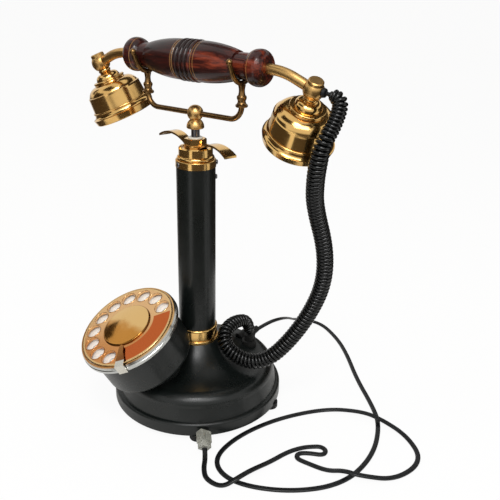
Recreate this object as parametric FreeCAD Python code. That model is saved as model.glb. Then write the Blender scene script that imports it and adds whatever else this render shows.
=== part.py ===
import FreeCAD, Part
import math
import os

os.makedirs("parts", exist_ok=True)

# Base, column and cap (mm; table at z = 0, dial towards -Y)
footHeight = 5.0
footRadius = 6.5
footPitchRadius = 65.2
footAngle = 33.5
flangeRadius = 70.0
flangeTop = 12.4
ridgeTop = 15.2
wallFootRadius = 66.8
wallTopRadius = 64.4
wallTop = 26.0
shoulderRadius = 55.1
shoulderTop = 35.3
domeTopRadius = 17.8
domeTop = 54.5
shellWall = 2.0
plateThick = 1.6
plateGap = 0.4
lugHeight = 7.0
screwRadius = 1.5
slipGap = 0.02
runGap = 0.05
tubeRadius = 15.05
tubeWall = 2.5
columnTop = 201.0
collarRadius = 16.3
collarLip = 17.4
collarHeight = 12.0
stemRadius = 9.0
stemBore = 6.5
stemFoot = 44.0
stemSeat = 2.5
stemRise = 5.0
capRadius = 15.5
capBandRadius = 13.0
capRingHeight = 5.6
capHeight = 15.0
wingThick = 1.6
wingReach = 45.0
wingRise = 5.0
nutFlats = 14.6
nutHeight = 4.8
bushRadius = 5.4
bushLip = 1.0

# Plunger and cradle
plungerRadius = 3.2
plungerFoot = 40.5
plungerCollar = 5.9
springTop = 75.0
springWire = 0.9
springRadius = 4.75
springTurns = 9
hookTravel = 4.5
bellGap = 6.4
bellHeight = 6.6
bellRadius = 6.6
ballRadius = 6.1
rodLift = 4.6
rodRadius = 2.0
rodBend = 10.0
cradleYaw = 17.0
forkReach = 44.55
cradleShift = -2.25
ferruleLift = 9.5
ferruleHeight = 8.0
prongRadius = 1.8
forkGap = 0.4
forkRing = 12.0
forkSpread = 65.0
prongLength = 9.0
prongTip = 2.3

# Dial (its own axes: z along the dial's normal, y up the slope)
dialReach = 64.6
dialHeight = 83.9
dialTilt = 29.0
wheelRadius = 38.2
wheelThick = 1.8
holeRadius = 5.7
holePitchRadius = 30.3
holeFirst = 68.5
holeStep = 25.5
holeCount = 10
wheelCapRadius = 20.0
wheelCapHeight = 2.6
plateDrop = 4.0
plateDisc = 1.2
bezelTop = -0.6
bezelGap = 0.6
bezelWidth = 2.2
bezelSlope = 1.3
panRadius = 36.4
panTop = -6.0
panFloor = -40.0
panWall = 2.0
panCorner = 4.5
columnGap = 0.4
neckRadius = 21.0
neckWall = 4.0
headSeat = 1.4
shaftRadius = 3.0
frameTop = -8.0
frameThick = 1.6
gearTop = -16.0
gearThick = 1.6
gearTeeth = 72
pinionTeeth = 12
gearModule = 0.5
pinionAngle = 200.0
stopAngle = -40.0
stopWidth = 7.0
stopGap = 0.9
stopLift = 0.7
stopThick = 1.1

# Handset (its own axes: x along the handle, z up, before its roll in the cradle)
handleLift = 20.0
handsetShift = 0.95
handleShift = 1.5
handsetRoll = 15.0
knobRadius = 12.6
knobMiddle = 56.7
knobHalf = 7.2
grooveRadius = 9.2
spindleLeft = 41.7
spindleRight = 39.1
spindleEnd = 10.2
spindleMid = 14.8
beadMiddle = -1.5
beadHalf = 8.2
armRadius = 3.7
armBore = 2.4
armBend = 45.0
armDroop = 25.7
armTang = 40.0
elbowReach = 99.3
elbowDrop = 10.8
elbowRadius = 7.3
elbowHalf = 4.9
stubRadius = 5.4
stubTop = 7.6
receiverLean = 18.5
transmitterLean = 23.0
rimRadius = 26.0
rimRidge = 39.5
rimMouth = 24.3
rimFoot = 44.7
cupRadius = 22.8
cupFoot = 34.4
cupWall = 1.6
sleeveRadius = 3.4
sleeveLength = 1.8
sleeveBack = 3.2
sleeveFoot = 4.0
sleeveDip = 8.0

# Cords
curlWire = 2.8
curlRadius = 4.8
curlGap = 1.2
curlPitch = 3.5
lineDiameter = 4.0
lineRest = 2.05
plugLength = 14.0
plugWidth = 9.6
plugHeight = 6.4
glandRadius = 4.2
glandBase = 6.2
glandTop = 46.0
curlGlandX = 11.5
curlGlandY = 46.0
lineGlandX = -3.0
lineGlandY = 56.0
lineGlandRise = 14.0
lineGlandLength = 11.0

# Sizes that follow from these
bezelRadius = wheelRadius + bezelGap + bezelWidth
stemTop = columnTop + stemRise
capRingTop = columnTop + capRingHeight
capTop = columnTop + capHeight
nutFoot = capTop + wingThick
nutTop = nutFoot + nutHeight
bushTop = nutTop + bushLip
bellFoot = bushTop + bellGap
bellTop = bellFoot + bellHeight
rodHeight = bellTop + rodLift
ferruleFoot = rodHeight + ferruleLift
ferruleTop = ferruleFoot + ferruleHeight
handleHeight = ferruleTop + handleLift


def vec(x, y, z):
    return FreeCAD.Vector(x, y, z)


upAxis = vec(0, 0, 1)
origin = vec(0, 0, 0)


def keep(name, shape):
    bad = [s for s in shape.Solids if not s.isValid() or s.Volume <= 0]
    print(name, "solids", len(shape.Solids), "volume", round(shape.Volume, 1), "bad", len(bad))
    shape.exportStep("parts/" + name + ".step")


def turned(start, *steps):
    edges = []
    here = start
    for step in steps + (start,):
        there = step[-2:]
        if len(step) == 4:
            arc = Part.Arc(vec(here[0], 0, here[1]), vec(step[0], 0, step[1]), vec(there[0], 0, there[1]))
            edges.append(arc.toShape())
        elif abs(here[0] - there[0]) + abs(here[1] - there[1]) > 1e-6:
            edges.append(Part.makeLine(vec(here[0], 0, here[1]), vec(there[0], 0, there[1])))
        here = there
    return Part.Face(Part.Wire(edges)).revolve(origin, upAxis, 360)


def rod(radius, low, high, x=0.0, y=0.0):
    return Part.makeCylinder(radius, high - low, vec(x, y, low))


def ring(outer, inner, low, high):
    return rod(outer, low, high).cut(rod(inner, low - 1, high + 1))


def box(x0, x1, y0, y1, z0, z1):
    return Part.makeBox(x1 - x0, y1 - y0, z1 - z0, vec(x0, y0, z0))


def hexBar(flats, low, high):
    corner = flats / math.sqrt(3)
    points = [vec(corner * math.cos(math.radians(60 * i)), corner * math.sin(math.radians(60 * i)), low)
              for i in range(7)]
    return Part.Face(Part.makePolygon(points)).extrude(vec(0, 0, high - low))


def polar(radius, angle, z=0.0):
    return vec(radius * math.cos(math.radians(angle)), radius * math.sin(math.radians(angle)), z)


def placed(shape, place):
    moved = shape.copy()
    moved.Placement = place.multiply(moved.Placement)
    return moved


def alongAxis(direction, at):
    return FreeCAD.Placement(at, FreeCAD.Rotation(upAxis, direction))


def routeEdges(points, bendRule):
    edges = []
    here = points[0]
    radii = []
    for i in range(1, len(points) - 1):
        back = points[i - 1] - points[i]
        ahead = points[i + 1] - points[i]
        turn = math.pi - back.getAngle(ahead)
        radius, tangent = bendRule(min(back.Length, ahead.Length), turn)
        radii.append(radius)
        back.normalize()
        ahead.normalize()
        first = points[i] + back * tangent
        last = points[i] + ahead * tangent
        middleWay = back + ahead
        middleWay.normalize()
        middle = points[i] + middleWay * (radius / math.cos(turn / 2) - radius)
        if (first - here).Length > 1e-6:
            edges.append(Part.makeLine(here, first))
        edges.append(Part.Arc(first, middle, last).toShape())
        here = last
    edges.append(Part.makeLine(here, points[-1]))
    return edges, radii


def fixedBend(radius):
    return lambda run, turn: (radius, radius * math.tan(turn / 2))


def easyBend(run, turn):
    return 0.45 * run / math.tan(turn / 2), 0.45 * run


def pipe(edges, radius):
    wire = Part.Wire(edges)
    start = edges[0].valueAt(edges[0].FirstParameter)
    way = edges[0].tangentAt(edges[0].FirstParameter)
    section = Part.Wire(Part.makeCircle(radius, start, way))
    return wire.makePipeShell([section], True, False)


# Base shell, plate, feet
def baseSolid(inset, floor):
    wallReach = wallTopRadius - inset
    wallHeight = wallTop - 0.5 * inset
    domeReach = shoulderRadius - 0.3 * inset
    domeHeight = shoulderTop - inset
    bend = math.sqrt(0.5)
    return turned((0, floor), (flangeRadius - inset, floor), (flangeRadius - inset, flangeTop),
                  (flangeRadius - inset - 0.8, ridgeTop - 0.6, wallFootRadius - inset + 0.5, ridgeTop),
                  (wallFootRadius - inset, ridgeTop + 0.2),
                  (wallReach, wallHeight),
                  (domeReach + bend * (wallReach - domeReach), wallHeight + bend * (domeHeight - wallHeight),
                   domeReach, domeHeight),
                  (33.0 - 0.4 * inset, 41.2 - inset, domeTopRadius - 0.4 * inset, domeTop - inset),
                  (0, domeTop - inset))


footAngles = [footAngle, -footAngle, 180 - footAngle, 180 + footAngle]
footSpots = [polar(footPitchRadius, a) for a in footAngles]
plateTop = footHeight + plateThick
dialPlace = FreeCAD.Placement(vec(0, -dialReach, dialHeight), FreeCAD.Rotation(vec(1, 0, 0), dialTilt))
domeSolid = baseSolid(0, footHeight)

hollowSolid = baseSolid(shellWall, footHeight - 1)
shell = domeSolid.cut(hollowSolid)
lugs = []
for angle in footAngles:
    lug = box(57, 68.6, -5.5, 5.5, plateTop, plateTop + lugHeight)
    lugs.append(placed(lug, FreeCAD.Placement(origin, FreeCAD.Rotation(upAxis, angle))))
shell = shell.fuse(lugs)
screwHoles = [rod(screwRadius + slipGap, plateTop - 1, plateTop + 6.4, p.x, p.y) for p in footSpots]
curlBore = rod(glandRadius + slipGap, 25, 60, curlGlandX, curlGlandY)
lineWay = vec(0, math.cos(math.radians(lineGlandRise)), math.sin(math.radians(lineGlandRise)))
lineSpot = vec(lineGlandX, lineGlandY, shoulderTop + 0.8)
linePlace = alongAxis(lineWay, lineSpot)
lineBore = placed(rod(glandRadius + slipGap, -14, 14), linePlace)
housingScrewReach = neckRadius - neckWall / 2
screwLine = Part.makeLine(dialPlace.multVec(vec(housingScrewReach, 0, panFloor)),
                          dialPlace.multVec(vec(housingScrewReach, 0, panFloor - 2 * wallTopRadius)))
wallDepth = max(dialPlace.inverse().multVec(v.Point).z for v in screwLine.common(hollowSolid).Vertexes)
print("housing screws: wall at", round(wallDepth, 2))
housingScrewHead = wallDepth - headSeat
neckFoot = housingScrewHead - 17.5
wireBore = placed(rod(neckRadius - 8, neckFoot + 5, panFloor - 4), dialPlace)
housingHoles = []
housingScrews = []
for side in (-1, 1):
    x = side * housingScrewReach
    hole = rod(screwRadius + slipGap, neckFoot, housingScrewHead + 12.5, x, 0)
    housingHoles.append(placed(hole, dialPlace))
    screw = rod(2.8, housingScrewHead - 1.6, housingScrewHead, x, 0)
    screw = screw.fuse(rod(screwRadius, housingScrewHead, housingScrewHead + 12, x, 0))
    housingScrews.append(placed(screw.removeSplitter(), dialPlace))
stemHole = rod(stemRadius + slipGap, domeTop - 5, domeTop + 1)
shell = shell.cut(screwHoles + housingHoles + [curlBore, lineBore, wireBore, stemHole])
keep("base_shell", shell)
keep("housing_screws", Part.makeCompound(housingScrews))

plate = rod(flangeRadius - shellWall - plateGap, footHeight, plateTop)
plate = plate.cut([rod(screwRadius + 0.2, footHeight - 1, plateTop + 1, p.x, p.y) for p in footSpots])
keep("base_plate", plate)

counterbore = 2.4
feet = []
footScrews = []
for spot in footSpots:
    foot = turned((0, 0), (footRadius - 1, 0), (footRadius - 0.3, 0.3, footRadius, 1),
                  (footRadius, footHeight), (0, footHeight))
    foot = foot.cut([rod(3.2, -1, counterbore), rod(screwRadius + 0.2, -1, footHeight + 1)])
    feet.append(foot.translated(spot))
    screw = turned((0, 0.7), (2.2, 0.7), (2.7, 0.9, 2.9, 1.4), (2.9, counterbore), (screwRadius, counterbore),
                   (screwRadius, plateTop + 6), (0, plateTop + 6))
    screw = screw.cut(box(-0.4, 0.4, -4, 4, 0, 1.3))
    footScrews.append(screw.translated(spot))
keep("rubber_feet", Part.makeCompound(feet))
keep("foot_screws", Part.makeCompound(footScrews))

# Column
collar = turned((tubeRadius + slipGap, domeTop), (collarLip, domeTop), (collarLip, domeTop + 1.4),
                (collarLip - 0.2, domeTop + 2.2, collarRadius, domeTop + 2.4),
                (collarRadius, domeTop + collarHeight - 1.6),
                (collarRadius - 0.1, domeTop + collarHeight - 0.4, tubeRadius + 0.6, domeTop + collarHeight),
                (tubeRadius + slipGap, domeTop + collarHeight))
keep("column_collar", collar)

capScrewSpots = [(-90, columnTop + 2.9), (58, columnTop + 2.9), (58, columnTop - 8.5)]
capScrewBores = []
capScrews = []
for angle, height in capScrewSpots:
    reach = capRadius if height > columnTop else tubeRadius
    place = alongAxis(polar(1, angle), vec(0, 0, height))
    capScrewBores.append(placed(rod(1.0 + slipGap, reach - 5, reach + 1), place))
    head = turned((0, reach - 4.5), (1.0, reach - 4.5), (1.0, reach + 0.1), (1.9, reach + 0.1),
                  (1.9, reach + 0.5), (1.6, reach + 1.0, 0.8, reach + 1.3), (0, reach + 1.3))
    capScrews.append(placed(head, place))
tube = ring(tubeRadius, tubeRadius - tubeWall, domeTop, columnTop).cut(capScrewBores)
keep("column_tube", tube)
keep("cap_screws", Part.makeCompound(capScrews))

stem = ring(stemRadius, stemBore, stemFoot, stemTop)
stem = stem.fuse(ring(stemBore + 0.5, plungerRadius + runGap, stemFoot, stemFoot + stemSeat))
keep("column_stem", stem.removeSplitter())
stemNut = hexBar(24, domeTop - shellWall - 6, domeTop - shellWall).cut(rod(stemRadius + slipGap, 30, 60))
keep("stem_nut", stemNut)

cap = turned((0, columnTop - 8), (tubeRadius - tubeWall - slipGap, columnTop - 8),
             (tubeRadius - tubeWall - slipGap, columnTop), (capRadius, columnTop),
             (capRadius, capRingTop - 0.8),
             (capRadius - 0.234, capRingTop - 0.234, capRadius - 0.8, capRingTop),
             (capBandRadius + 1.0, capRingTop),
             (capBandRadius + 1.3, capRingTop + 1.3, capBandRadius + 0.6, capRingTop + 2.6),
             (capBandRadius, capRingTop + 3.0), (capBandRadius, capTop - 0.8),
             (capBandRadius - 0.8, capTop), (0, capTop))
cap = cap.cut([rod(stemRadius + slipGap, columnTop - 9, stemTop + slipGap),
               rod(bushRadius + slipGap, stemTop - 1, capTop + 1)] + capScrewBores)
keep("column_cap", cap)

wingHalf = wingThick / 2
wingMid = capTop + wingHalf
wingFlat = 10.0


def wingArc(offset):
    return Part.Arc(vec(wingFlat, 0, wingMid + offset),
                    vec((wingFlat + wingReach) / 2 + 1, 0, wingMid + wingRise + offset),
                    vec(wingReach, 0, wingMid + 0.4 + offset)).toShape()


upper = wingArc(wingHalf)
lower = wingArc(-wingHalf)
sideFace = Part.Face(Part.Wire(Part.__sortEdges__([
    upper, lower, Part.makeLine(vec(wingFlat, 0, wingMid - wingHalf), vec(wingFlat, 0, wingMid + wingHalf)),
    Part.makeLine(upper.Vertexes[1].Point, lower.Vertexes[1].Point)])))
blade = sideFace.extrude(vec(0, 14, 0)).translated(vec(0, -7, 0))
planFoot = capTop - wingRise
planPoints = [vec(wingFlat - 1, -3.4, planFoot), vec(wingReach - 8, -4.6, planFoot),
              vec(wingReach + 1, -5.2, planFoot), vec(wingReach + 1, 5.2, planFoot),
              vec(wingReach - 8, 4.6, planFoot), vec(wingFlat - 1, 3.4, planFoot),
              vec(wingFlat - 1, -3.4, planFoot)]
plan = Part.Face(Part.makePolygon(planPoints)).extrude(vec(0, 0, 4 * wingRise))
blade = blade.common(plan)
root = rod(8.6, capTop, capTop + wingThick).fuse(box(0, wingFlat, -3.4, 3.4, capTop, capTop + wingThick))
half = root.fuse(blade)
wings = half.fuse(placed(half, FreeCAD.Placement(origin, FreeCAD.Rotation(upAxis, 180))))
wings = wings.cut(rod(bushRadius + slipGap, capTop - 1, bushTop + 1)).removeSplitter()
keep("carrying_wings", wings)

nutBlank = hexBar(nutFlats, nutFoot, nutTop)
nutCone = turned((0, nutFoot), (9, nutFoot), (9, nutTop - 0.8), (nutFlats / 2 - 0.2, nutTop), (0, nutTop))
capNut = nutBlank.common(nutCone).cut(rod(bushRadius + slipGap, capTop - 1, bushTop + 1))
keep("cap_nut", capNut)
bush = turned((plungerRadius + runGap, stemTop + 0.5), (bushRadius, stemTop + 0.5),
              (bushRadius, bushTop - 0.5), (bushRadius - 0.5, bushTop), (plungerRadius + runGap, bushTop))
keep("plunger_bush", bush)

# Plunger, its spring and the cradle
plungerHead = rodHeight - rodRadius - 1.0
plunger = turned((0, plungerFoot), (1.6, plungerFoot + 0.3, plungerRadius, plungerFoot + 1.6),
                 (plungerRadius, springTop), (plungerCollar, springTop), (plungerCollar, springTop + 2),
                 (plungerRadius, springTop + 2), (plungerRadius, plungerHead), (0, plungerHead))
keep("plunger_rod", plunger)


def biarc(startPoint, startWay, endPoint, endWay):
    span = endPoint - startPoint
    a = 2 * (startWay.dot(endWay) - 1)
    b = -2 * span.dot(startWay + endWay)
    c = span.dot(span)
    if abs(a) < 1e-9:
        reach = -c / b
    else:
        root1 = (-b - math.sqrt(b * b - 4 * a * c)) / (2 * a)
        root2 = (-b + math.sqrt(b * b - 4 * a * c)) / (2 * a)
        reach = max(root1, root2)
    corner1 = startPoint + startWay * reach
    corner2 = endPoint - endWay * reach
    joint = (corner1 + corner2) * 0.5
    return [tangentArc(startPoint, corner1, joint), tangentArc(joint, corner2, endPoint)]


def tangentArc(first, corner, last):
    chord = last - first
    halfTurn = chord.getAngle(corner - first)
    middle = (first + last) * 0.5
    outward = corner - middle
    if outward.Length < 1e-7:
        return Part.makeLine(first, last)
    outward.normalize()
    return Part.Arc(first, middle + outward * (chord.Length / 2 * math.tan(halfTurn / 2)), last).toShape()


def coilEdges(points, ways):
    edges = []
    for i in range(len(points) - 1):
        edges += biarc(points[i], ways[i], points[i + 1], ways[i + 1])
    return edges


springFoot = stemFoot + stemSeat
springLow = springFoot + springWire / 2 + 0.3
springHigh = springTop - springWire / 2 - 0.3
springPoints = []
springWays = []
springStep = (springHigh - springLow) / (2 * springTurns)
for i in range(2 * springTurns + 1):
    angle = 180.0 * i
    springPoints.append(polar(springRadius, angle, springLow + springStep * i))
    way = polar(springRadius * math.pi, angle + 90, springStep)
    way.normalize()
    springWays.append(way)
keep("plunger_spring", pipe(coilEdges(springPoints, springWays), springWire / 2))

bellBore = plungerRadius + slipGap
bell = turned((bellBore, bellFoot), (bellRadius - 0.5, bellFoot), (bellRadius, bellFoot + 0.5),
              (bellRadius, bellFoot + 1.2), (5.8, bellFoot + 4.2, 4.1, bellTop - 0.3), (3.9, bellTop),
              (bellBore, bellTop))
keep("cradle_bell", bell)

cradleYawTurn = FreeCAD.Rotation(upAxis, cradleYaw)
cradleTurn = FreeCAD.Placement(cradleYawTurn.multVec(vec(cradleShift, 0, 0)), cradleYawTurn)
ballTurn = FreeCAD.Placement(origin, cradleYawTurn)
ball = Part.makeSphere(ballRadius, vec(0, 0, rodHeight))
ball = ball.cut([rod(bellBore, bellFoot, plungerHead + slipGap),
                 Part.makeCylinder(rodRadius + slipGap, 30, vec(-15, 0, rodHeight), vec(1, 0, 0)),
                 box(-20, 20, -20, 20, bellFoot, bellTop)])
keep("cradle_ball", placed(ball, ballTurn))

rodEnd = ferruleTop - 3.0
rodPoints = [vec(-forkReach, 0, rodEnd), vec(-forkReach, 0, rodHeight), vec(forkReach, 0, rodHeight),
             vec(forkReach, 0, rodEnd)]
rodEdges, rodRadii = routeEdges(rodPoints, fixedBend(rodBend))
keep("cradle_rod", placed(pipe(rodEdges, rodRadius), cradleTurn))

forkFoot = handleHeight - grooveRadius - forkGap - prongRadius
forkMid = forkFoot + forkRing
spread = math.radians(forkSpread)
for side, name in ((-1, "left"), (1, "right")):
    spot = vec(side * forkReach, 0, 0)
    ferrule = turned((0, ferruleFoot), (4.0, ferruleFoot), (4.4, ferruleFoot + 0.5), (4.4, ferruleFoot + 1.6),
                     (3.3, ferruleFoot + 2.6, 2.9, ferruleFoot + 4.6), (3.5, ferruleTop - 2.0),
                     (3.5, ferruleTop - 0.8), (3.1, ferruleTop), (0, ferruleTop))
    ferrule = ferrule.cut([rod(rodRadius + slipGap, ferruleFoot - 1, rodEnd + slipGap),
                           rod(1.6 + slipGap, rodEnd - 1, ferruleTop + 1)])
    keep(name + "_ferrule", placed(ferrule.translated(spot), cradleTurn))
    stemPiece = turned((0, rodEnd + 0.1), (1.6, rodEnd + 0.1), (1.6, ferruleTop), (2.7, ferruleTop),
                       (2.2, ferruleTop + 4.5, 2.8, forkFoot - 1.4), (1.4, forkFoot), (0, forkFoot))
    rootY = forkRing * math.sin(spread)
    rootZ = forkMid - forkRing * math.cos(spread)
    tipY = rootY + prongLength * math.cos(spread)
    tipZ = rootZ + prongLength * math.sin(spread)
    forkArc = Part.Arc(vec(0, -rootY, rootZ), vec(0, 0, forkFoot), vec(0, rootY, rootZ))
    prongEdges = [Part.makeLine(vec(0, -tipY, tipZ), vec(0, -rootY, rootZ)), forkArc.toShape(),
                  Part.makeLine(vec(0, rootY, rootZ), vec(0, tipY, tipZ))]
    tips = [Part.makeSphere(prongTip, vec(0, prong * tipY, tipZ)) for prong in (-1, 1)]
    fork = pipe(prongEdges, prongRadius).fuse([stemPiece] + tips).removeSplitter()
    keep(name + "_fork", placed(fork.translated(spot), cradleTurn))

# Hook switch under the column
pivotX = -14.0
pivotZ = 36.0
leverGap = 0.7
leverNose = 1.6
bracket = box(pivotX - 5, pivotX + 5, -7, 7, plateTop, plateTop + 1.5)
for side in (-1, 1):
    cheek = box(pivotX - 4, pivotX + 4, -0.75, 0.75, plateTop, pivotZ + 4).translated(vec(0, side * 5.5, 0))
    bracket = bracket.fuse(cheek)
bracket = bracket.fuse(Part.makeCylinder(1.5, 11, vec(pivotX, -5.5, pivotZ), vec(0, 1, 0))).removeSplitter()
keep("hook_bracket", bracket)
leverTop = plungerFoot - leverGap
lever = box(pivotX - 3, 2.4, -3, 3, pivotZ - 2.5, pivotZ + 2.5).fuse(rod(leverNose, pivotZ + 1, leverTop))
lever = lever.fuse(box(pivotX - 16, pivotX - 3, -2, 2, pivotZ - 1, pivotZ + 1))
lever = lever.cut(Part.makeCylinder(1.5 + runGap, 20, vec(pivotX, -10, pivotZ), vec(0, 1, 0)))
keep("hook_lever", lever.removeSplitter())
contacts = []
for i in range(4):
    x = pivotX - 26 + 2.2 * i - 6
    contacts.append(box(x, x + 0.4, -3, 3, plateTop + 4, pivotZ - 6))
stack = box(pivotX - 36, pivotX - 22, -5, 5, plateTop, plateTop + 4)
keep("hook_contacts", stack.fuse(contacts).removeSplitter())

# Dial
plateLow = -plateDrop - plateDisc


def dialKeep(name, shape):
    keep(name, placed(shape, dialPlace))


pan = turned((panRadius - panWall, panTop), (panRadius, panTop), (panRadius, panFloor + panCorner),
             (panRadius - 0.3 * panCorner, panFloor + 0.3 * panCorner, panRadius - panCorner, panFloor),
             (0, panFloor), (0, panFloor + panWall), (panRadius - panCorner, panFloor + panWall),
             (panRadius - panWall, panFloor + panCorner))
frameLow = frameTop - frameThick
ledge = ring(panRadius - panWall + 0.5, panRadius - panWall - 2.2, frameLow - 2.4, frameLow)
neck = rod(neckRadius, neckFoot, panFloor + 0.5)
housing = pan.fuse([ledge, neck]).cut(rod(neckRadius - neckWall, neckFoot - 5, panFloor + panWall + 0.1))
columnRoom = [rod(tubeRadius + columnGap, domeTop, columnTop),
              rod(collarRadius + columnGap, domeTop, domeTop + collarHeight + columnGap),
              rod(collarLip + columnGap, domeTop - 1, domeTop + 2.4 + columnGap)]
below = box(-60, 60, -140, 60, -40, 20)
housing = placed(housing, dialPlace).cut([domeSolid, below] + columnRoom + housingHoles)
housing = max(housing.Solids, key=lambda s: s.Volume)
keep("dial_housing", housing.removeSplitter())

bezelBore = wheelRadius + bezelGap
bezelFoot = panRadius - panWall - 1.0
bezel = turned((bezelFoot, panTop), (bezelRadius, panTop), (bezelRadius, -3.8), (bezelRadius - 0.5, -3.4),
               (bezelRadius - 0.5, -3.0), (bezelRadius - 0.2, -2.6), (bezelRadius - bezelSlope, bezelTop),
               (bezelBore, bezelTop), (bezelBore, plateLow), (bezelFoot, plateLow))
dialKeep("dial_bezel", bezel)
dialKeep("number_plate", ring(bezelBore - 0.2, shaftRadius + 4.6, plateLow, -plateDrop))

wheelBore = shaftRadius + slipGap
wheel = turned((wheelBore, -wheelThick), (wheelRadius - 0.4, -wheelThick), (wheelRadius, -wheelThick + 0.4),
               (wheelRadius, -0.5), (wheelRadius - 0.2, -0.1, wheelRadius - 0.8, 0), (wheelBore, 0))
holes = []
for i in range(holeCount):
    spot = polar(holePitchRadius, holeFirst + holeStep * i)
    holes.append(rod(holeRadius, -wheelThick - 1, 1, spot.x, spot.y))
dialKeep("finger_wheel", wheel.cut(holes))
wheelCap = turned((0, 0), (wheelCapRadius, 0), (wheelCapRadius - 0.2, 0.8, wheelCapRadius - 1.4, 1.4),
                  (wheelCapRadius - 2.2, 1.5), (10, wheelCapHeight, 1.5, wheelCapHeight + 0.3),
                  (0, wheelCapHeight + 0.3))
dialKeep("wheel_cap", wheelCap)
hubLow = -wheelThick - 1.8
shaft = turned((0, -23), (shaftRadius, -23), (shaftRadius, hubLow), (7, hubLow), (7, -wheelThick),
               (shaftRadius, -wheelThick), (shaftRadius, -0.1), (0, -0.1))
dialKeep("dial_shaft", shaft)

centreGap = gearModule * (gearTeeth + pinionTeeth) / 2
pinionSpot = polar(centreGap, pinionAngle)
frameRadius = panRadius - panWall - 0.3
dialFrame = rod(frameRadius, frameLow, frameTop)
bossLow = frameLow - 4.4
dialFrame = dialFrame.fuse([rod(6, bossLow, frameTop), rod(3.4, bossLow, frameTop, *pinionSpot[:2])])
dialFrame = dialFrame.cut([rod(shaftRadius + runGap, -30, 0), rod(1.2 + runGap, -30, 0, *pinionSpot[:2])])
cutouts = [rod(6.5, -30, 0, *polar(frameRadius - 10, a)[:2]) for a in (20, 80, 320)]
dialKeep("dial_frame", dialFrame.cut(cutouts))


def gear(teeth, low, high, phase):
    pitch = gearModule * teeth / 2
    step = 360.0 / teeth
    perMm = 180.0 / (math.pi * pitch)
    points = []
    for i in range(teeth):
        middle = phase + step * i
        for height, offset in ((-0.62, -0.42), (0.38, -0.16), (0.38, 0.16), (-0.62, 0.42)):
            points.append(polar(pitch + height, middle + offset * perMm, low))
    points.append(points[0])
    return Part.Face(Part.makePolygon(points)).extrude(vec(0, 0, high - low))


gearLow = gearTop - gearThick
mainGear = gear(gearTeeth, gearLow, gearTop, pinionAngle).cut(rod(shaftRadius + slipGap, -30, 0))
mainGear = mainGear.cut([rod(3.6, -30, 0, *polar(11, a)[:2]) for a in (0, 60, 120, 180, 240, 300)])
dialKeep("main_gear", mainGear)
pinion = gear(pinionTeeth, gearLow, gearTop, 180 + pinionAngle + 180.0 / pinionTeeth).translated(pinionSpot)
spindle = rod(1.2, -21.5, frameTop + 0.8, pinionSpot.x, pinionSpot.y)
bar = box(-7, 7, -1.2, 1.2, -21.5, -20).translated(vec(pinionSpot.x, pinionSpot.y, 0))
weights = [rod(2.4, -22.5, -19.5, pinionSpot.x + dx, pinionSpot.y) for dx in (-6.5, 6.5)]
dialKeep("governor_rotor", pinion.fuse([spindle, bar] + weights).removeSplitter())


def spiralSide(offset, inner, pitch, turns):
    edges = []
    for i in range(2 * turns):
        centre = vec(0.25 * pitch * (-1 if i % 2 else 1), 0, 0)
        radius = inner + 0.5 * pitch * i + offset
        side = -1 if i % 2 else 1
        edges.append(Part.Arc(centre + vec(side * -radius, 0, 0), centre + vec(0, side * radius, 0),
                              centre + vec(side * radius, 0, 0)).toShape())
    return edges


springStrip = 0.25
inside = spiralSide(-springStrip, 7.2, 1.6, 4)
outside = spiralSide(springStrip, 7.2, 1.6, 4)
spiralWire = Part.Wire(Part.__sortEdges__(inside + outside + [
    Part.makeLine(inside[0].Vertexes[0].Point, outside[0].Vertexes[0].Point),
    Part.makeLine(inside[-1].Vertexes[-1].Point, outside[-1].Vertexes[-1].Point)]))
returnSpring = Part.Face(spiralWire).extrude(vec(0, 0, 3.4)).translated(vec(0, 0, frameLow - 3.9))
dialKeep("return_spring", returnSpring)

stopHalf = stopWidth / 2
stopOut = bezelRadius + 1.2
stopTip = wheelCapRadius + stopGap
stopArm = [vec(stopTip, -1.2, 0), vec(stopTip + 1.6, -2.4, 0), vec(34, -stopHalf, 0),
           vec(stopOut, -stopHalf, 0), vec(stopOut, stopHalf, 0), vec(36, stopHalf, 0), vec(29, 1.6, 0),
           vec(stopTip + 1.4, 0.9, 0), vec(stopTip, -1.2, 0)]
arm = Part.Face(Part.makePolygon(stopArm)).extrude(vec(0, 0, stopThick)).translated(vec(0, 0, stopLift))
foot = box(bezelRadius + 0.1, stopOut, -stopHalf, stopHalf, -6.4, stopLift + stopThick)
stopTurn = FreeCAD.Placement(origin, FreeCAD.Rotation(upAxis, stopAngle))
dialKeep("finger_stop", placed(arm.fuse(foot).removeSplitter(), stopTurn))

# Handset
handsetTurn = cradleYawTurn.multiply(FreeCAD.Rotation(vec(1, 0, 0), handsetRoll))
handsetPlace = FreeCAD.Placement(cradleTurn.multVec(vec(handsetShift, 0, handleHeight)), handsetTurn)
lengthwise = FreeCAD.Placement(vec(handleShift, 0, 0), FreeCAD.Rotation(upAxis, vec(1, 0, 0)))


def handsetKeep(name, shape):
    keep(name, placed(shape, handsetPlace))


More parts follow.
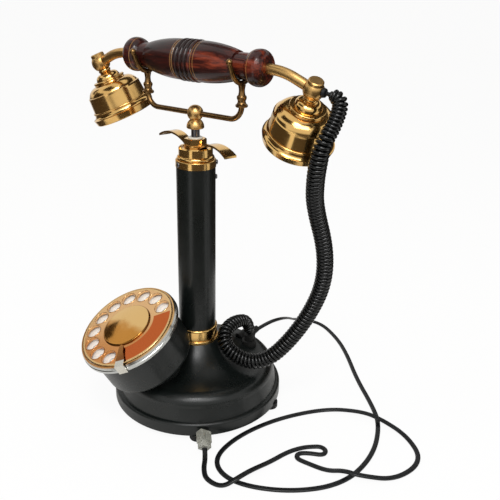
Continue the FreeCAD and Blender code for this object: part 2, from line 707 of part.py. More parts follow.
knobOut = knobMiddle + knobHalf
knobIn = knobMiddle - knobHalf
armHole = armRadius + slipGap
beadLow = beadMiddle - beadHalf
beadHigh = beadMiddle + beadHalf
swellRadius = spindleMid - 1.2
beadSteps = []
for i in range(4):
    low = beadLow + i * beadHalf / 2
    beadSteps.append((spindleMid - 0.9, low))
    beadSteps.append((spindleMid + 0.3, low + beadHalf / 4, spindleMid - 0.9, low + beadHalf / 2))
handle = turned((armHole, -knobOut), (7.0, -knobOut),
                (knobRadius - 2.2, -knobOut + 1.6, knobRadius, -knobMiddle),
                (knobRadius - 1.8, -knobIn - 1.6, grooveRadius, -knobIn), (grooveRadius, -spindleLeft),
                (spindleEnd, -spindleLeft),
                (swellRadius, (beadLow - spindleLeft) / 2, spindleMid - 0.3, beadLow - 1.0), *beadSteps,
                (spindleMid - 0.3, beadHigh + 1.0),
                (swellRadius, (beadHigh + spindleRight) / 2, spindleEnd, spindleRight),
                (grooveRadius, spindleRight), (grooveRadius, knobIn),
                (knobRadius - 1.8, knobIn + 1.6, knobRadius, knobMiddle),
                (knobRadius - 2.2, knobOut - 1.6, 7.0, knobOut), (armHole, knobOut))
handsetKeep("handle", placed(handle, lengthwise))

droop = math.radians(armDroop)
cornerX = elbowReach - elbowDrop / math.tan(droop)
handsetEnds = ((-1, "left", receiverLean, "receiver"), (1, "right", transmitterLean, "transmitter"))
for side, name, lean, cupName in handsetEnds:
    elbowAt = vec(side * elbowReach, 0, -elbowDrop)
    armWay = vec(side * math.cos(droop), 0, -math.sin(droop))
    armEnd = elbowAt - armWay * 3.6
    armPoints = [vec(side * armTang, 0, 0), vec(side * cornerX, 0, 0), armEnd]
    armEdges, armRadii = routeEdges(armPoints, fixedBend(armBend))
    armPiece = pipe(armEdges, armRadius).cut(pipe(armEdges, armBore))
    handsetKeep(name + "_arm", armPiece)
    axis = vec(-side * math.sin(math.radians(lean)), 0, -math.cos(math.radians(lean)))
    capsulePlace = alongAxis(axis, elbowAt)
    stubFoot = math.sqrt(elbowRadius ** 2 - stubRadius ** 2)
    elbowFoot = math.sqrt(elbowRadius ** 2 - elbowHalf ** 2)
    elbow = turned((0, -stubTop), (stubRadius - 0.7, -stubTop), (stubRadius, -stubTop + 0.7),
                   (stubRadius, -stubFoot), (elbowRadius, 0, elbowFoot, elbowHalf), (2.0, elbowHalf),
                   (2.0, elbowHalf + 6), (0, elbowHalf + 6))
    elbow = placed(elbow, capsulePlace).cut(Part.makeCylinder(armHole, 20, armEnd, armWay * -1))
    if side > 0:
        sleeveWay = vec(math.cos(math.radians(sleeveDip)), 0, -math.sin(math.radians(sleeveDip)))
        sleeveAt = elbowAt
        sleeveStart = sleeveAt + sleeveWay * (sleeveBack - 0.1)
        elbow = elbow.cut(Part.makeCylinder(sleeveRadius - 1.4 + slipGap, 20, sleeveStart, sleeveWay))
    handsetKeep(name + "_elbow", elbow)
    cup = turned((2.0 + slipGap, elbowHalf), (4.0, elbowHalf), (5.0, elbowHalf + 1.4, 4.2, elbowHalf + 2.8),
                 (5.2, elbowHalf + 3.4), (8.6, elbowHalf + 5.0, 9.8, elbowHalf + 8.0),
                 (12.4, elbowHalf + 8.2), (13.0, elbowHalf + 9.1, 12.4, elbowHalf + 10.0),
                 (12.8, elbowHalf + 10.8), (18.2, elbowHalf + 13.0, 21.2, elbowHalf + 17.2),
                 (22.0, elbowHalf + 17.6), (22.0, elbowHalf + 19.0), (cupRadius, cupFoot),
                 (cupRadius - cupWall, cupFoot), (21.0 - cupWall, elbowHalf + 18.2),
                 (16.6, elbowHalf + 14.8, 11.0, elbowHalf + 12.4), (2.0 + slipGap, elbowHalf + 12.4))
    handsetKeep(cupName + "_cup", placed(cup, capsulePlace))
    rim = turned((0, rimFoot - 1.6), (20.0, rimFoot - 1.6), (20.0, cupFoot), (cupRadius + 0.5, cupFoot),
                 (cupRadius + 1.1, cupFoot + 0.7, cupRadius + 0.5, cupFoot + 1.4),
                 (cupRadius + 1.1, rimRidge - 1.4, rimRadius, rimRidge), (rimMouth + 0.6, rimFoot - 1.0),
                 (rimMouth + 0.2, rimFoot - 0.25, rimMouth - 0.8, rimFoot), (0, rimFoot))
    rimHoles = [rod(1.3, 0, 60)]
    for i in range(6):
        spot = polar(7, 60 * i)
        rimHoles.append(rod(1.3, 0, 60, spot.x, spot.y))
    handsetKeep(cupName + "_cap", placed(rim.cut(rimHoles), capsulePlace))
    unitTop = elbowHalf + 20.5
    unit = turned((0, unitTop), (15.0, unitTop), (16.0, unitTop + 1), (16.0, unitTop + 6),
                  (19.4, unitTop + 6), (19.4, rimFoot - 2.8), (0, rimFoot - 2.8))
    handsetKeep(cupName + "_unit", placed(unit, capsulePlace))

sleeve = Part.makeCylinder(sleeveRadius - 1.4, sleeveFoot + sleeveLength / 2, origin).fuse(
    turned((0, sleeveFoot), (sleeveRadius, sleeveFoot), (sleeveRadius - 0.5, sleeveFoot + sleeveLength),
           (0, sleeveFoot + sleeveLength)))
sleevePlace = alongAxis(sleeveWay, sleeveAt + sleeveWay * sleeveBack)
handsetKeep("handset_sleeve", placed(sleeve.removeSplitter(), sleevePlace))

# Ringer and circuit board in the base
gongX = 20.0
gongY = 39.0
ringerBack = 9.0
clapperY = 21.0
gongRadius = 14.0
ringerFrame = box(-30, 30, ringerBack, gongY + 8, plateTop, plateTop + 1.5)
for side in (-1, 1):
    upright = box(side * 9 - 3, side * 9 + 3, ringerBack, ringerBack + 2.5, plateTop, 26)
    ringerFrame = ringerFrame.fuse([rod(2.5, plateTop, 22, side * gongX, gongY), upright])
ringerFrame = ringerFrame.fuse(rod(2.0, plateTop, 24, 0, clapperY)).removeSplitter()
keep("ringer_frame", ringerFrame)
coils = []
gongs = []
for side in (-1, 1):
    coils.append(Part.makeCylinder(5.5, 6.0, vec(side * 9, ringerBack + 2.6, 18.5), vec(0, 1, 0)))
    gong = turned((0, 22.02), (8, 22.02), (gongRadius - 1, 20, gongRadius, 12.0), (gongRadius - 1.2, 12.0),
                  (gongRadius - 2.4, 19.4, 8, 20.8), (2.52, 20.8), (2.52, 22.01), (0, 22.01))
    gongs.append(gong.translated(vec(side * gongX, gongY, 0)))
keep("ringer_coils", Part.makeCompound(coils))
keep("ringer_gongs", Part.makeCompound(gongs))
clapper = ring(3.6, 2.0 + runGap, 14, 18).translated(vec(0, clapperY, 0))
clapper = clapper.fuse([box(-0.8, 0.8, clapperY + 3.2, gongY - 1, 15.2, 16.8),
                        Part.makeSphere(2.6, vec(0, gongY, 16)),
                        box(-12, -3.2, clapperY - 1, clapperY + 1, 15, 17),
                        box(3.2, 12, clapperY - 1, clapperY + 1, 15, 17)]).removeSplitter()
keep("ringer_clapper", clapper)

board = box(-26, 26, -50, -22, 12, 13.6)
board = board.fuse([rod(1.6, plateTop, 12.5, x, y) for x in (-22, 22) for y in (-46, -26)])
board = board.fuse([rod(5, 13, 24, 14, -36), box(-20, -4, -46, -28, 13, 24), box(0, 6, -47, -27, 13, 17)])
keep("circuit_board", board.removeSplitter())

# Glands and cords
curlGland = rod(glandRadius, shoulderTop - 4, glandTop, curlGlandX, curlGlandY)
curlFlange = rod(glandBase, 30, 40.5, curlGlandX, curlGlandY).cut(domeSolid)
lineTaper = turned((0, 4), (glandRadius - 0.4, 4), (2.6, lineGlandLength), (0, lineGlandLength))
lineGland = placed(rod(glandRadius, -5, 5), linePlace).fuse(placed(lineTaper, linePlace))
lineFlange = placed(rod(glandBase, -10, 3), linePlace).cut(domeSolid)
lineFlange = max(lineFlange.Solids, key=lambda s: s.CenterOfMass.z)
glands = [curlGland.fuse(curlFlange).removeSplitter(), lineGland.fuse(lineFlange).removeSplitter()]
keep("cord_glands", Part.makeCompound(glands))


# Curly cord: route points are the corners that its line rounds off
def cradlePoint(s, n, z):
    return cradleTurn.multVec(vec(s, n, z))


sleeveEnd = handsetPlace.multVec(sleeveAt + sleeveWay * (sleeveBack + sleeveFoot + sleeveLength))
sleeveOut = handsetPlace.Rotation.multVec(sleeveWay)
curlDrop = sleeveEnd.z - glandTop


def hang(x, y, share):
    return vec(x, y, glandTop + curlDrop * share)


curlRoute = [sleeveEnd, sleeveEnd + sleeveOut * 7.5, hang(114.8, 38.8, 0.9606), hang(114.4, 36.6, 0.9122),
             hang(111.8, 32.4, 0.8583), hang(108.4, 30.6, 0.799), hang(104.0, 31.0, 0.7325),
             hang(96.9, 36.0, 0.6486),
             hang(93.9, 49.4, 0.4817), hang(88.7, 52.3, 0.3452), hang(79.2, 48.7, 0.2165),
             hang(67.9, 40.4, 0.0919), hang(56.7, 28.6, 0.0091), hang(45.1, 17.2, -0.0064),
             hang(29.6, 10.4, 0.0255), hang(22.5, 13.6, 0.0746), hang(17.0, 29.5, 0.0977),
             vec(curlGlandX, curlGlandY, glandTop + 14), vec(curlGlandX, curlGlandY, glandTop)]
curlEdges, curlBends = routeEdges(curlRoute, easyBend)
print("curly cord route radii", [round(r, 1) for r in curlBends])


class Route:
    def __init__(self, edges):
        self.edges = edges
        self.starts = [0.0]
        for edge in edges:
            self.starts.append(self.starts[-1] + edge.Length)
        self.length = self.starts[-1]

    def find(self, s):
        s = min(max(s, 0.0), self.length)
        i = 0
        while i < len(self.edges) - 1 and s > self.starts[i + 1]:
            i += 1
        edge = self.edges[i]
        return edge, edge.getParameterByLength(min(s - self.starts[i], edge.Length))

    def point(self, s):
        edge, at = self.find(s)
        return edge.valueAt(at)

    def way(self, s):
        edge, at = self.find(s)
        return edge.tangentAt(at)

    def bend(self, s):
        edge, at = self.find(s)
        return 1.0 / edge.Curve.Radius if hasattr(edge.Curve, "Radius") else 0.0


def curlLine(route, straight, ease):
    step = 0.5
    count = int(route.length / step)
    sideWays = []
    angles = []
    side = route.way(0).cross(vec(0, 1, 0))
    side.normalize()
    angle = 0.0
    for i in range(count + 1):
        s = i * step
        way = route.way(s)
        side = side - way * side.dot(way)
        side.normalize()
        sideWays.append(side)
        angles.append(angle)
        bend = sum(route.bend(s + d) for d in (-4, -2, 0, 2, 4)) / 5
        pitch = max(curlPitch, (curlWire + curlGap) / (1 - curlRadius * bend))
        edgeRun = min(s, route.length - s) - straight
        if edgeRun < ease:
            pitch = pitch + (2.6 * ease - pitch) * (1 - max(edgeRun, 0) / ease)
        angle += 2 * math.pi * step / pitch

    def at(s):
        i = min(int(s / step), count - 1)
        share = s / step - i
        way = route.way(s)
        side = sideWays[i] * (1 - share) + sideWays[i + 1] * share
        side = side - way * side.dot(way)
        side.normalize()
        other = way.cross(side)
        turn = angles[i] + (angles[i + 1] - angles[i]) * share
        run = min(max((min(s, route.length - s) - straight) / ease, 0.0), 1.0)
        radius = curlRadius * run * run * (3 - 2 * run)
        return route.point(s) + side * (radius * math.cos(turn)) + other * (radius * math.sin(turn))

    stops = [straight]
    quarter = math.pi / 2
    goal = angles[int(straight / step)] + quarter
    for i in range(count):
        while angles[i + 1] >= goal > angles[i]:
            s = (i + (goal - angles[i]) / (angles[i + 1] - angles[i])) * step
            if straight + 0.6 < s < route.length - straight - 0.6:
                stops.append(s)
            goal += quarter
    stops.append(route.length - straight)
    return at, stops, (angles[-1] - angles[0]) / (2 * math.pi)


def wayAt(at, s):
    way = at(s + 0.03) - at(s - 0.03)
    way.normalize()
    return way


def leastGap(points, spacing, diameter):
    skip = int(1.6 * diameter / spacing)
    least = 1e9
    for i in range(len(points)):
        for j in range(i + skip, len(points)):
            dx = points[i].x - points[j].x
            if abs(dx) < least:
                least = min(least, points[i].distanceToPoint(points[j]))
    return least - diameter


curlPath = Route(curlEdges)
curlStraight = curlWire + 0.2
curlAt, curlStops, curlTurns = curlLine(curlPath, curlStraight, 9.0)
curlPoints = [curlAt(s) for s in curlStops]
curlWays = [wayAt(curlAt, s) for s in curlStops]
curlWays[0] = curlPath.way(0)
curlWays[-1] = curlPath.way(curlPath.length)
wireEdges = [Part.makeLine(curlPath.point(0), curlPoints[0])]
wireEdges += coilEdges(curlPoints, curlWays)
wireEdges.append(Part.makeLine(curlPoints[-1], curlPath.point(curlPath.length)))
wireLength = sum(e.Length for e in wireEdges)
gapPoints = Part.Wire(wireEdges).discretize(Number=int(wireLength / 0.8))
curlCord = pipe(wireEdges, curlWire / 2)
print("curly cord axis", round(curlPath.length, 1), "turns", round(curlTurns, 1),
      "wire", round(wireLength, 1), "least gap", round(leastGap(gapPoints, 0.8, curlWire), 2),
      "least bend", round(min(e.Curve.Radius for e in wireEdges if hasattr(e.Curve, "Radius")), 2),
      "volume share", round(curlCord.Volume / (math.pi * curlWire ** 2 / 4 * wireLength), 4))
keep("handset_cord", curlCord)

# Line cord and its plug
plugTurn = -30.0
plugPitch = 22.0
plugRoll = 35.0
plugTail = vec(74.1, -42.8, 5.1)
plugWay = polar(-math.cos(math.radians(plugPitch)), plugTurn, math.sin(math.radians(plugPitch)))
lineOut = lineSpot + lineWay * lineGlandLength
over = 8.8
lineRoute = [lineOut, lineOut + lineWay * 12, vec(-8, 97, 37), vec(-19, 117, 27), vec(-33, 136, 13.5),
             vec(-44, 154, 3.5), vec(-28, 170, lineRest), vec(4, 162, lineRest), vec(32, 148.5, lineRest),
             vec(70, 124, lineRest), vec(106, 105.5, lineRest), vec(128, 91, lineRest),
             vec(152, 58, lineRest), vec(161, 18, lineRest), vec(144, -19, lineRest),
             vec(113, -46, lineRest), vec(87, -42, lineRest), vec(75, -14, lineRest), vec(75, 28, lineRest),
             vec(87, 70, lineRest), vec(119, 90, over), vec(151, 98, lineRest), vec(178, 84, lineRest),
             vec(180, 52, lineRest), vec(160, 27, over), vec(143.5, 18.2, lineRest),
             vec(128.2, 12.0, lineRest), vec(120.8, 9.4, lineRest), vec(117.4, 11.4, lineRest),
             vec(116.6, 15.3, lineRest), vec(121.6, 21.7, lineRest), vec(128.9, 27.9, lineRest),
             vec(126.6, 33.5, lineRest), vec(120.6, 33.7, lineRest), vec(116.6, 28.2, lineRest),
             vec(112.6, 20.5, lineRest), vec(110.2, 8.0, lineRest), vec(111.2, -9.0, lineRest),
             vec(116.5, -37, over + 2), vec(112.5, -54, lineRest), vec(99, -58.5, lineRest),
             vec(88.5, -53.5, lineRest), plugTail - plugWay * 8.0, plugTail]
lineEdges, lineBends = routeEdges(lineRoute, easyBend)
linePath = Route(lineEdges)
lineCord = pipe(lineEdges, lineDiameter / 2)
print("line cord radii", [round(r, 1) for r in lineBends])
linePoints = Part.Wire(lineEdges).discretize(Number=int(linePath.length / 1.0))
print("line cord length", round(linePath.length, 1),
      "least gap", round(leastGap(linePoints, 1.0, lineDiameter), 2),
      "lowest", round(min(p.z for p in linePoints) - lineDiameter / 2, 2),
      "volume share", round(lineCord.Volume / (math.pi * lineDiameter ** 2 / 4 * linePath.length), 4))
keep("line_cord", lineCord)

plugSide = upAxis.cross(plugWay)
plugSide.normalize()
plugLevel = FreeCAD.Rotation(plugSide, plugWay.cross(plugSide), plugWay, "ZXY")
plugPlace = FreeCAD.Placement(plugTail, plugLevel.multiply(FreeCAD.Rotation(upAxis, plugRoll)))
halfWide = plugWidth / 2
halfHigh = plugHeight / 2
plug = box(-halfWide, halfWide, -halfHigh, halfHigh, 0, plugLength)
plug = plug.cut([box(-halfWide - 1, -halfWide + 0.9, -halfHigh - 1, halfHigh + 1, 0, 4.5),
                 box(halfWide - 0.9, halfWide + 1, -halfHigh - 1, halfHigh + 1, 0, 4.5)])
latch = box(-1.6, 1.6, 0, 0.9, -11.5, 0)
latchTilt = FreeCAD.Rotation(vec(1, 0, 0), 11)
latch = placed(latch, FreeCAD.Placement(vec(0, halfHigh - 0.3, plugLength - 1.2), latchTilt))
slots = []
blades = []
for i in range(4):
    x = 1.27 * (i - 1.5)
    slots.append(box(x - 0.3, x + 0.3, -halfHigh - 1, -halfHigh + 3.0, plugLength - 4.5, plugLength + 1))
    blades.append(box(x - 0.2, x + 0.2, -halfHigh + 0.6, -halfHigh + 3.0, plugLength - 4.5, plugLength - 0.6))
keep("line_plug", placed(plug.fuse(latch).cut(slots).removeSplitter(), plugPlace))
keep("plug_contacts", placed(Part.makeCompound(blades), plugPlace))
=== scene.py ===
import bpy
import bmesh
import math
from mathutils import Euler, Matrix, Vector


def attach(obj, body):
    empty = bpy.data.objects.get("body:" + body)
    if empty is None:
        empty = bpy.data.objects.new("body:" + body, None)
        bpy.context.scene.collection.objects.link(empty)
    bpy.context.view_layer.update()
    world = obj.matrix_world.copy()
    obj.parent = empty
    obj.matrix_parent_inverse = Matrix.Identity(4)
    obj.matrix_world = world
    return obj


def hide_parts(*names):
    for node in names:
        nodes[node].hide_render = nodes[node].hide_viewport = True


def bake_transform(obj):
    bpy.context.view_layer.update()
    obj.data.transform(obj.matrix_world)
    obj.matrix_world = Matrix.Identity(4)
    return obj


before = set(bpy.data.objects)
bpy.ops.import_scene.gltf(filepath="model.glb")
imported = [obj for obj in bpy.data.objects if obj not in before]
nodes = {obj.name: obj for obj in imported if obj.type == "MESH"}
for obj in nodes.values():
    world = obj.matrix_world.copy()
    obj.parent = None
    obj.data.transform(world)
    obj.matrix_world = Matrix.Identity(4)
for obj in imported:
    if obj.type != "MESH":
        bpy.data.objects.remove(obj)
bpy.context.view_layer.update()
mm = 0.001
print("frame loaded:", len(nodes), "nodes")


def linear(hexText):
    # sRGB hex to the linear colour that a shader socket takes
    parts = [int(hexText[i:i + 2], 16) / 255 for i in (1, 3, 5)]
    return [p / 12.92 if p <= 0.04045 else ((p + 0.055) / 1.055) ** 2.4 for p in parts] + [1.0]


def addNode(tree, kind, inputs=None, **settings):
    # inputs maps a socket to a value, or to (node, output) for a link
    node = tree.nodes.new(kind)
    for key, value in settings.items():
        setattr(node, key, value)
    for key, value in (inputs or {}).items():
        if isinstance(value, tuple) and isinstance(value[0], bpy.types.Node):
            tree.links.new(value[0].outputs[value[1]], node.inputs[key])
        else:
            node.inputs[key].default_value = value
    return node


def emptyTree(owner):
    # the node tree of a material or a world, with nothing in it
    owner.use_nodes = True
    owner.node_tree.nodes.clear()
    return owner.node_tree


def newMaterial(name):
    material = bpy.data.materials.new(name)
    tree = emptyTree(material)
    shader = addNode(tree, "ShaderNodeBsdfPrincipled")
    addNode(tree, "ShaderNodeOutputMaterial", {"Surface": (shader, 0)})
    return material, tree, shader


def feed(tree, shader, **sources):
    # links (node, output) pairs to the shader's colour, roughness and normal
    sockets = {"colour": "Base Color", "roughness": "Roughness", "normal": "Normal"}
    for key, (node, output) in sources.items():
        tree.links.new(node.outputs[output], shader.inputs[sockets[key]])


def dress(material, *names):
    for name in names:
        mesh = nodes[name].data
        if not mesh.materials:
            mesh.materials.append(material)
        for i in range(len(mesh.materials)):
            mesh.materials[i] = material


def newObject(name, data):
    piece = bpy.data.objects.new(name, data)
    bpy.context.scene.collection.objects.link(piece)
    return piece


def plainMesh(source):
    # an object with its curve or modifiers worked out, as a mesh of its own
    graph = bpy.context.evaluated_depsgraph_get()
    return bpy.data.meshes.new_from_object(source.evaluated_get(graph), depsgraph=graph)


def newTree(name, inputs):
    # a node group with named inputs: returns it, its group input and the sockets' identifiers
    tree = bpy.data.node_groups.new(name, "GeometryNodeTree")
    tree.interface.new_socket("Geometry", in_out="INPUT", socket_type="NodeSocketGeometry")
    identifiers = {}
    for label, kind in inputs.items():
        socket = tree.interface.new_socket(label, in_out="INPUT", socket_type="NodeSocket" + kind)
        identifiers[label] = socket.identifier
    tree.interface.new_socket("Geometry", in_out="OUTPUT", socket_type="NodeSocketGeometry")
    return tree, addNode(tree, "NodeGroupInput"), identifiers


def finishTree(tree, group, shape):
    # every tree ends in these
    whole = addNode(tree, "GeometryNodeRealizeInstances", {0: shape})
    coat = addNode(tree, "GeometryNodeSetMaterial", {"Geometry": (whole, 0), "Material": (group, "Material")})
    addNode(tree, "NodeGroupOutput", {0: (coat, 0)})


def grow(source, tree, identifiers, values):
    # runs a tree on an object and gives the result back as a plain mesh
    modifier = source.modifiers.new(tree.name, "NODES")
    modifier.node_group = tree
    for label, value in values.items():
        modifier[identifiers[label]] = value
    mesh = plainMesh(source)
    source.modifiers.remove(modifier)
    return mesh


# camera at the photograph's place
cameraLook = {"place": (0.4260, -0.2761, 0.3394), "right": (0.60582, 0.79536, 0.01944),
              "up": (-0.31186, 0.21492, 0.92550), "forward": (-0.73193, 0.56675, -0.37825),
              "lens": 49.33, "sensor": 36.0, "clip": (0.01, 80.0)}


def makeCamera(look):
    data = bpy.data.cameras.new("studioCamera")
    data.lens = look["lens"]
    data.sensor_width = look["sensor"]
    data.clip_start, data.clip_end = look["clip"]
    camera = newObject("studioCamera", data)
    axes = [Vector(look["right"]), Vector(look["up"]), -Vector(look["forward"])]
    camera.matrix_world = Matrix.Translation(look["place"]) @ Matrix(axes).transposed().to_4x4()
    bpy.context.scene.camera = camera


makeCamera(cameraLook)
print("camera set")

# places of the dial and the handle, as in the part: finishes that follow them are centred and turned there
dialMiddle = Vector((0.0, -64.6, 83.9)) * mm
dialTurn = Euler((math.radians(29.0), 0.0, 0.0))
handleMiddle = Vector((-1.243, -0.380, 278.5)) * mm
cradleTurn = Matrix.Rotation(math.radians(17), 3, "Z")
handsetRoll = Matrix.Rotation(math.radians(15), 3, "X")
handleTurn = (cradleTurn @ handsetRoll).to_euler()

# finishes: a size that ends in Mm is in millimetres, a pair that ends in From is the range of values used
enamelLook = {"colour": "#0e1211", "dust": "#262927", "edge": "#303331", "roughness": (0.24, 0.36),
              "specular": 0.42, "peelMm": 1.3, "peel": 0.05, "peelDepthMm": 0.05, "smudgeMm": 22.0,
              "smudgeFrom": (0.3, 0.7), "speckMm": 0.9, "speckFrom": (0.69, 0.76), "dustShare": 0.5,
              "edgeMm": 0.7, "edgeFrom": (0.985, 0.86)}


def makeEnamel(name, look):
    # stove enamel on metal: satin black with a fine orange peel, faint smudges and paler worn edges
    material, tree, shader = newMaterial(name)
    place = addNode(tree, "ShaderNodeTexCoord")
    smudge = addNode(tree, "ShaderNodeTexNoise", {
        "Vector": (place, "Object"), "Scale": 1 / (look["smudgeMm"] * mm), "Detail": 5.0, "Roughness": 0.62})
    peel = addNode(tree, "ShaderNodeTexNoise", {
        "Vector": (place, "Object"), "Scale": 1 / (look["peelMm"] * mm), "Detail": 2.0})
    speck = addNode(tree, "ShaderNodeTexNoise", {
        "Vector": (place, "Object"), "Scale": 1 / (look["speckMm"] * mm), "Detail": 1.0})
    speckShare = addNode(tree, "ShaderNodeMapRange", {
        "Value": (speck, 0), "From Min": look["speckFrom"][0], "From Max": look["speckFrom"][1],
        "To Max": look["dustShare"]})
    softNormal = addNode(tree, "ShaderNodeBevel", {"Radius": look["edgeMm"] * mm}, samples=4)
    trueNormal = addNode(tree, "ShaderNodeNewGeometry")
    facing = addNode(tree, "ShaderNodeVectorMath", {0: (softNormal, 0), 1: (trueNormal, "Normal")},
                     operation="DOT_PRODUCT")
    edgeShare = addNode(tree, "ShaderNodeMapRange", {
        "Value": (facing, "Value"), "From Min": look["edgeFrom"][0], "From Max": look["edgeFrom"][1]})
    worn = addNode(tree, "ShaderNodeMath", {0: (edgeShare, 0), 1: (smudge, 0)}, operation="MULTIPLY")
    dusty = addNode(tree, "ShaderNodeMix", {
        0: (speckShare, 0), 6: linear(look["colour"]), 7: linear(look["dust"])}, data_type="RGBA")
    paled = addNode(tree, "ShaderNodeMix", {
        0: (worn, 0), 6: (dusty, 2), 7: linear(look["edge"])}, data_type="RGBA")
    sheen = addNode(tree, "ShaderNodeMapRange", {
        "Value": (smudge, 0), "From Min": look["smudgeFrom"][0], "From Max": look["smudgeFrom"][1],
        "To Min": look["roughness"][0], "To Max": look["roughness"][1]})
    bump = addNode(tree, "ShaderNodeBump", {
        "Height": (peel, 0), "Strength": look["peel"], "Distance": look["peelDepthMm"] * mm})
    feed(tree, shader, colour=(paled, 2), roughness=(sheen, 0), normal=(bump, 0))
    shader.inputs["Specular IOR Level"].default_value = look["specular"]
    return material


# metals: bright colour, tarnish colour, roughness from clean to tarnished, sizes of the patches and dents
metalLooks = {
    "polishedBrass": {"colour": "#e7bb74", "tarnish": "#a5773a", "roughness": (0.13, 0.27), "patchMm": 16.0,
                      "tarnishShare": 0.35, "dentMm": 7.0, "dent": 0.05},
    "agedBrass": {"colour": "#d6ac6c", "tarnish": "#8a6436", "roughness": (0.32, 0.46), "patchMm": 7.0,
                  "tarnishShare": 0.55, "dentMm": 3.0, "dent": 0.03},
    "darkBronze": {"colour": "#8f6e44", "tarnish": "#36281b", "roughness": (0.28, 0.44), "patchMm": 7.0,
                   "tarnishShare": 0.8, "dentMm": 2.2, "dent": 0.04},
    "brightNickel": {"colour": "#d3d1ca", "tarnish": "#8d8982", "roughness": (0.14, 0.3), "patchMm": 9.0,
                     "tarnishShare": 0.4, "dentMm": 4.0, "dent": 0.04},
    "darkSteel": {"colour": "#77767a", "tarnish": "#3a3736", "roughness": (0.26, 0.48), "patchMm": 6.0,
                  "tarnishShare": 0.6, "dentMm": 2.0, "dent": 0.05},
    "zincSteel": {"colour": "#b3b4b5", "tarnish": "#7b7a74", "roughness": (0.3, 0.5), "patchMm": 8.0,
                  "tarnishShare": 0.5, "dentMm": 3.0, "dent": 0.05},
    "windingCopper": {"colour": "#b8673a", "tarnish": "#6f3a20", "roughness": (0.32, 0.5), "patchMm": 4.0,
                      "tarnishShare": 0.5, "dentMm": 1.0, "dent": 0.2},
}
# wear that all of these metals share
wearLook = {"patchFrom": (0.45, 0.78), "creviceMm": 2.5, "creviceFrom": (0.85, 0.35), "creviceShare": 0.75,
            "hairMm": 0.8, "hairShare": 0.35, "sheenFrom": (0.1, 0.9), "dentDepthMm": 0.3}


def makeMetal(name, look):
    # turned and polished metal: shallow dents, fine hair marks, and tarnish in patches and in the crevices
    material, tree, shader = newMaterial(name)
    place = addNode(tree, "ShaderNodeTexCoord")
    patch = addNode(tree, "ShaderNodeTexNoise", {
        "Vector": (place, "Object"), "Scale": 1 / (look["patchMm"] * mm), "Detail": 6.0, "Roughness": 0.6})
    patchShare = addNode(tree, "ShaderNodeMapRange", {
        "Value": (patch, 0), "From Min": wearLook["patchFrom"][0], "From Max": wearLook["patchFrom"][1],
        "To Max": look["tarnishShare"]})
    crevice = addNode(tree, "ShaderNodeAmbientOcclusion", {"Distance": wearLook["creviceMm"] * mm}, samples=6)
    creviceShare = addNode(tree, "ShaderNodeMapRange", {
        "Value": (crevice, "AO"), "From Min": wearLook["creviceFrom"][0],
        "From Max": wearLook["creviceFrom"][1], "To Max": wearLook["creviceShare"]})
    share = addNode(tree, "ShaderNodeMath", {0: (patchShare, 0), 1: (creviceShare, 0)}, operation="MAXIMUM")
    colour = addNode(tree, "ShaderNodeMix", {
        0: (share, 0), 6: linear(look["colour"]), 7: linear(look["tarnish"])}, data_type="RGBA")
    hair = addNode(tree, "ShaderNodeTexNoise", {
        "Vector": (place, "Object"), "Scale": 1 / (wearLook["hairMm"] * mm), "Detail": 3.0})
    blend = addNode(tree, "ShaderNodeMath", {0: (hair, 0), 1: wearLook["hairShare"], 2: (share, 0)},
                    operation="MULTIPLY_ADD")
    sheen = addNode(tree, "ShaderNodeMapRange", {
        "Value": (blend, 0), "From Min": wearLook["sheenFrom"][0], "From Max": wearLook["sheenFrom"][1],
        "To Min": look["roughness"][0], "To Max": look["roughness"][1]})
    dents = addNode(tree, "ShaderNodeTexNoise", {
        "Vector": (place, "Object"), "Scale": 1 / (look["dentMm"] * mm), "Detail": 2.0})
    bump = addNode(tree, "ShaderNodeBump", {
        "Height": (dents, 0), "Strength": look["dent"], "Distance": wearLook["dentDepthMm"] * mm})
    feed(tree, shader, colour=(colour, 2), roughness=(sheen, 0), normal=(bump, 0))
    shader.inputs["Metallic"].default_value = 1.0
    return material


# sheet metal of the dial: a painted reflection, two colours that change over along a side direction between
# two given distances, lighter on one side and darker on the other, and the colour of the rim outside rimMm;
# the field is a third colour outside fieldMm, a painted reddish reflection, with the middle and half the
# width of its turn in degrees
spunLooks = {
    "spunCopper": {"colour": "#e3b682", "second": "#cf8f55", "rim": "#e2bd84", "rimMm": 36.6,
                   "roughness": (0.12, 0.26), "lineMm": 0.5, "patchMm": 14.0, "side": (0.62, -0.78, 0.0),
                   "sideMm": (-12.0, 22.0), "reflectedField": "#c0602e", "fieldTurn": (3.0, 51.0), "fieldMm": 22.6},
    "spunBrass": {"colour": "#e3bb7c", "second": "#c68a40", "rim": "#8a5a26", "rimMm": 19.3,
                  "roughness": (0.08, 0.2), "lineMm": 0.6, "patchMm": 12.0, "side": (0.25, -0.97, 0.0),
                  "sideMm": (-4.0, 6.0)},
    "giltNickel": {"colour": "#d0a56a", "second": "#b9854a", "rim": "#bdbebb", "rimMm": 40.0,
                   "roughness": (0.14, 0.3), "lineMm": 0.4, "patchMm": 6.0, "side": (0.0, -1.0, 0.0),
                   "sideMm": (-10.0, 30.0)},
    "stopBronze": {"colour": "#a8743f", "second": "#84522a", "rim": "#cfccc2", "rimMm": 36.6,
                   "roughness": (0.16, 0.3), "lineMm": 0.5, "patchMm": 5.0, "side": (1.0, 0.0, 0.0),
                   "sideMm": (10.0, 30.0)},
}
# what these sheets share: how far patches shift the painted reflection's change of colour, soft borders and
# the depth of the rings
spinLook = {"unevenMm": 14.0, "rimSoftMm": 0.3, "fieldSoftMm": 0.5, "sheenFrom": (0.12, 0.42), "ring": 0.1,
            "ringDepthMm": 0.03}


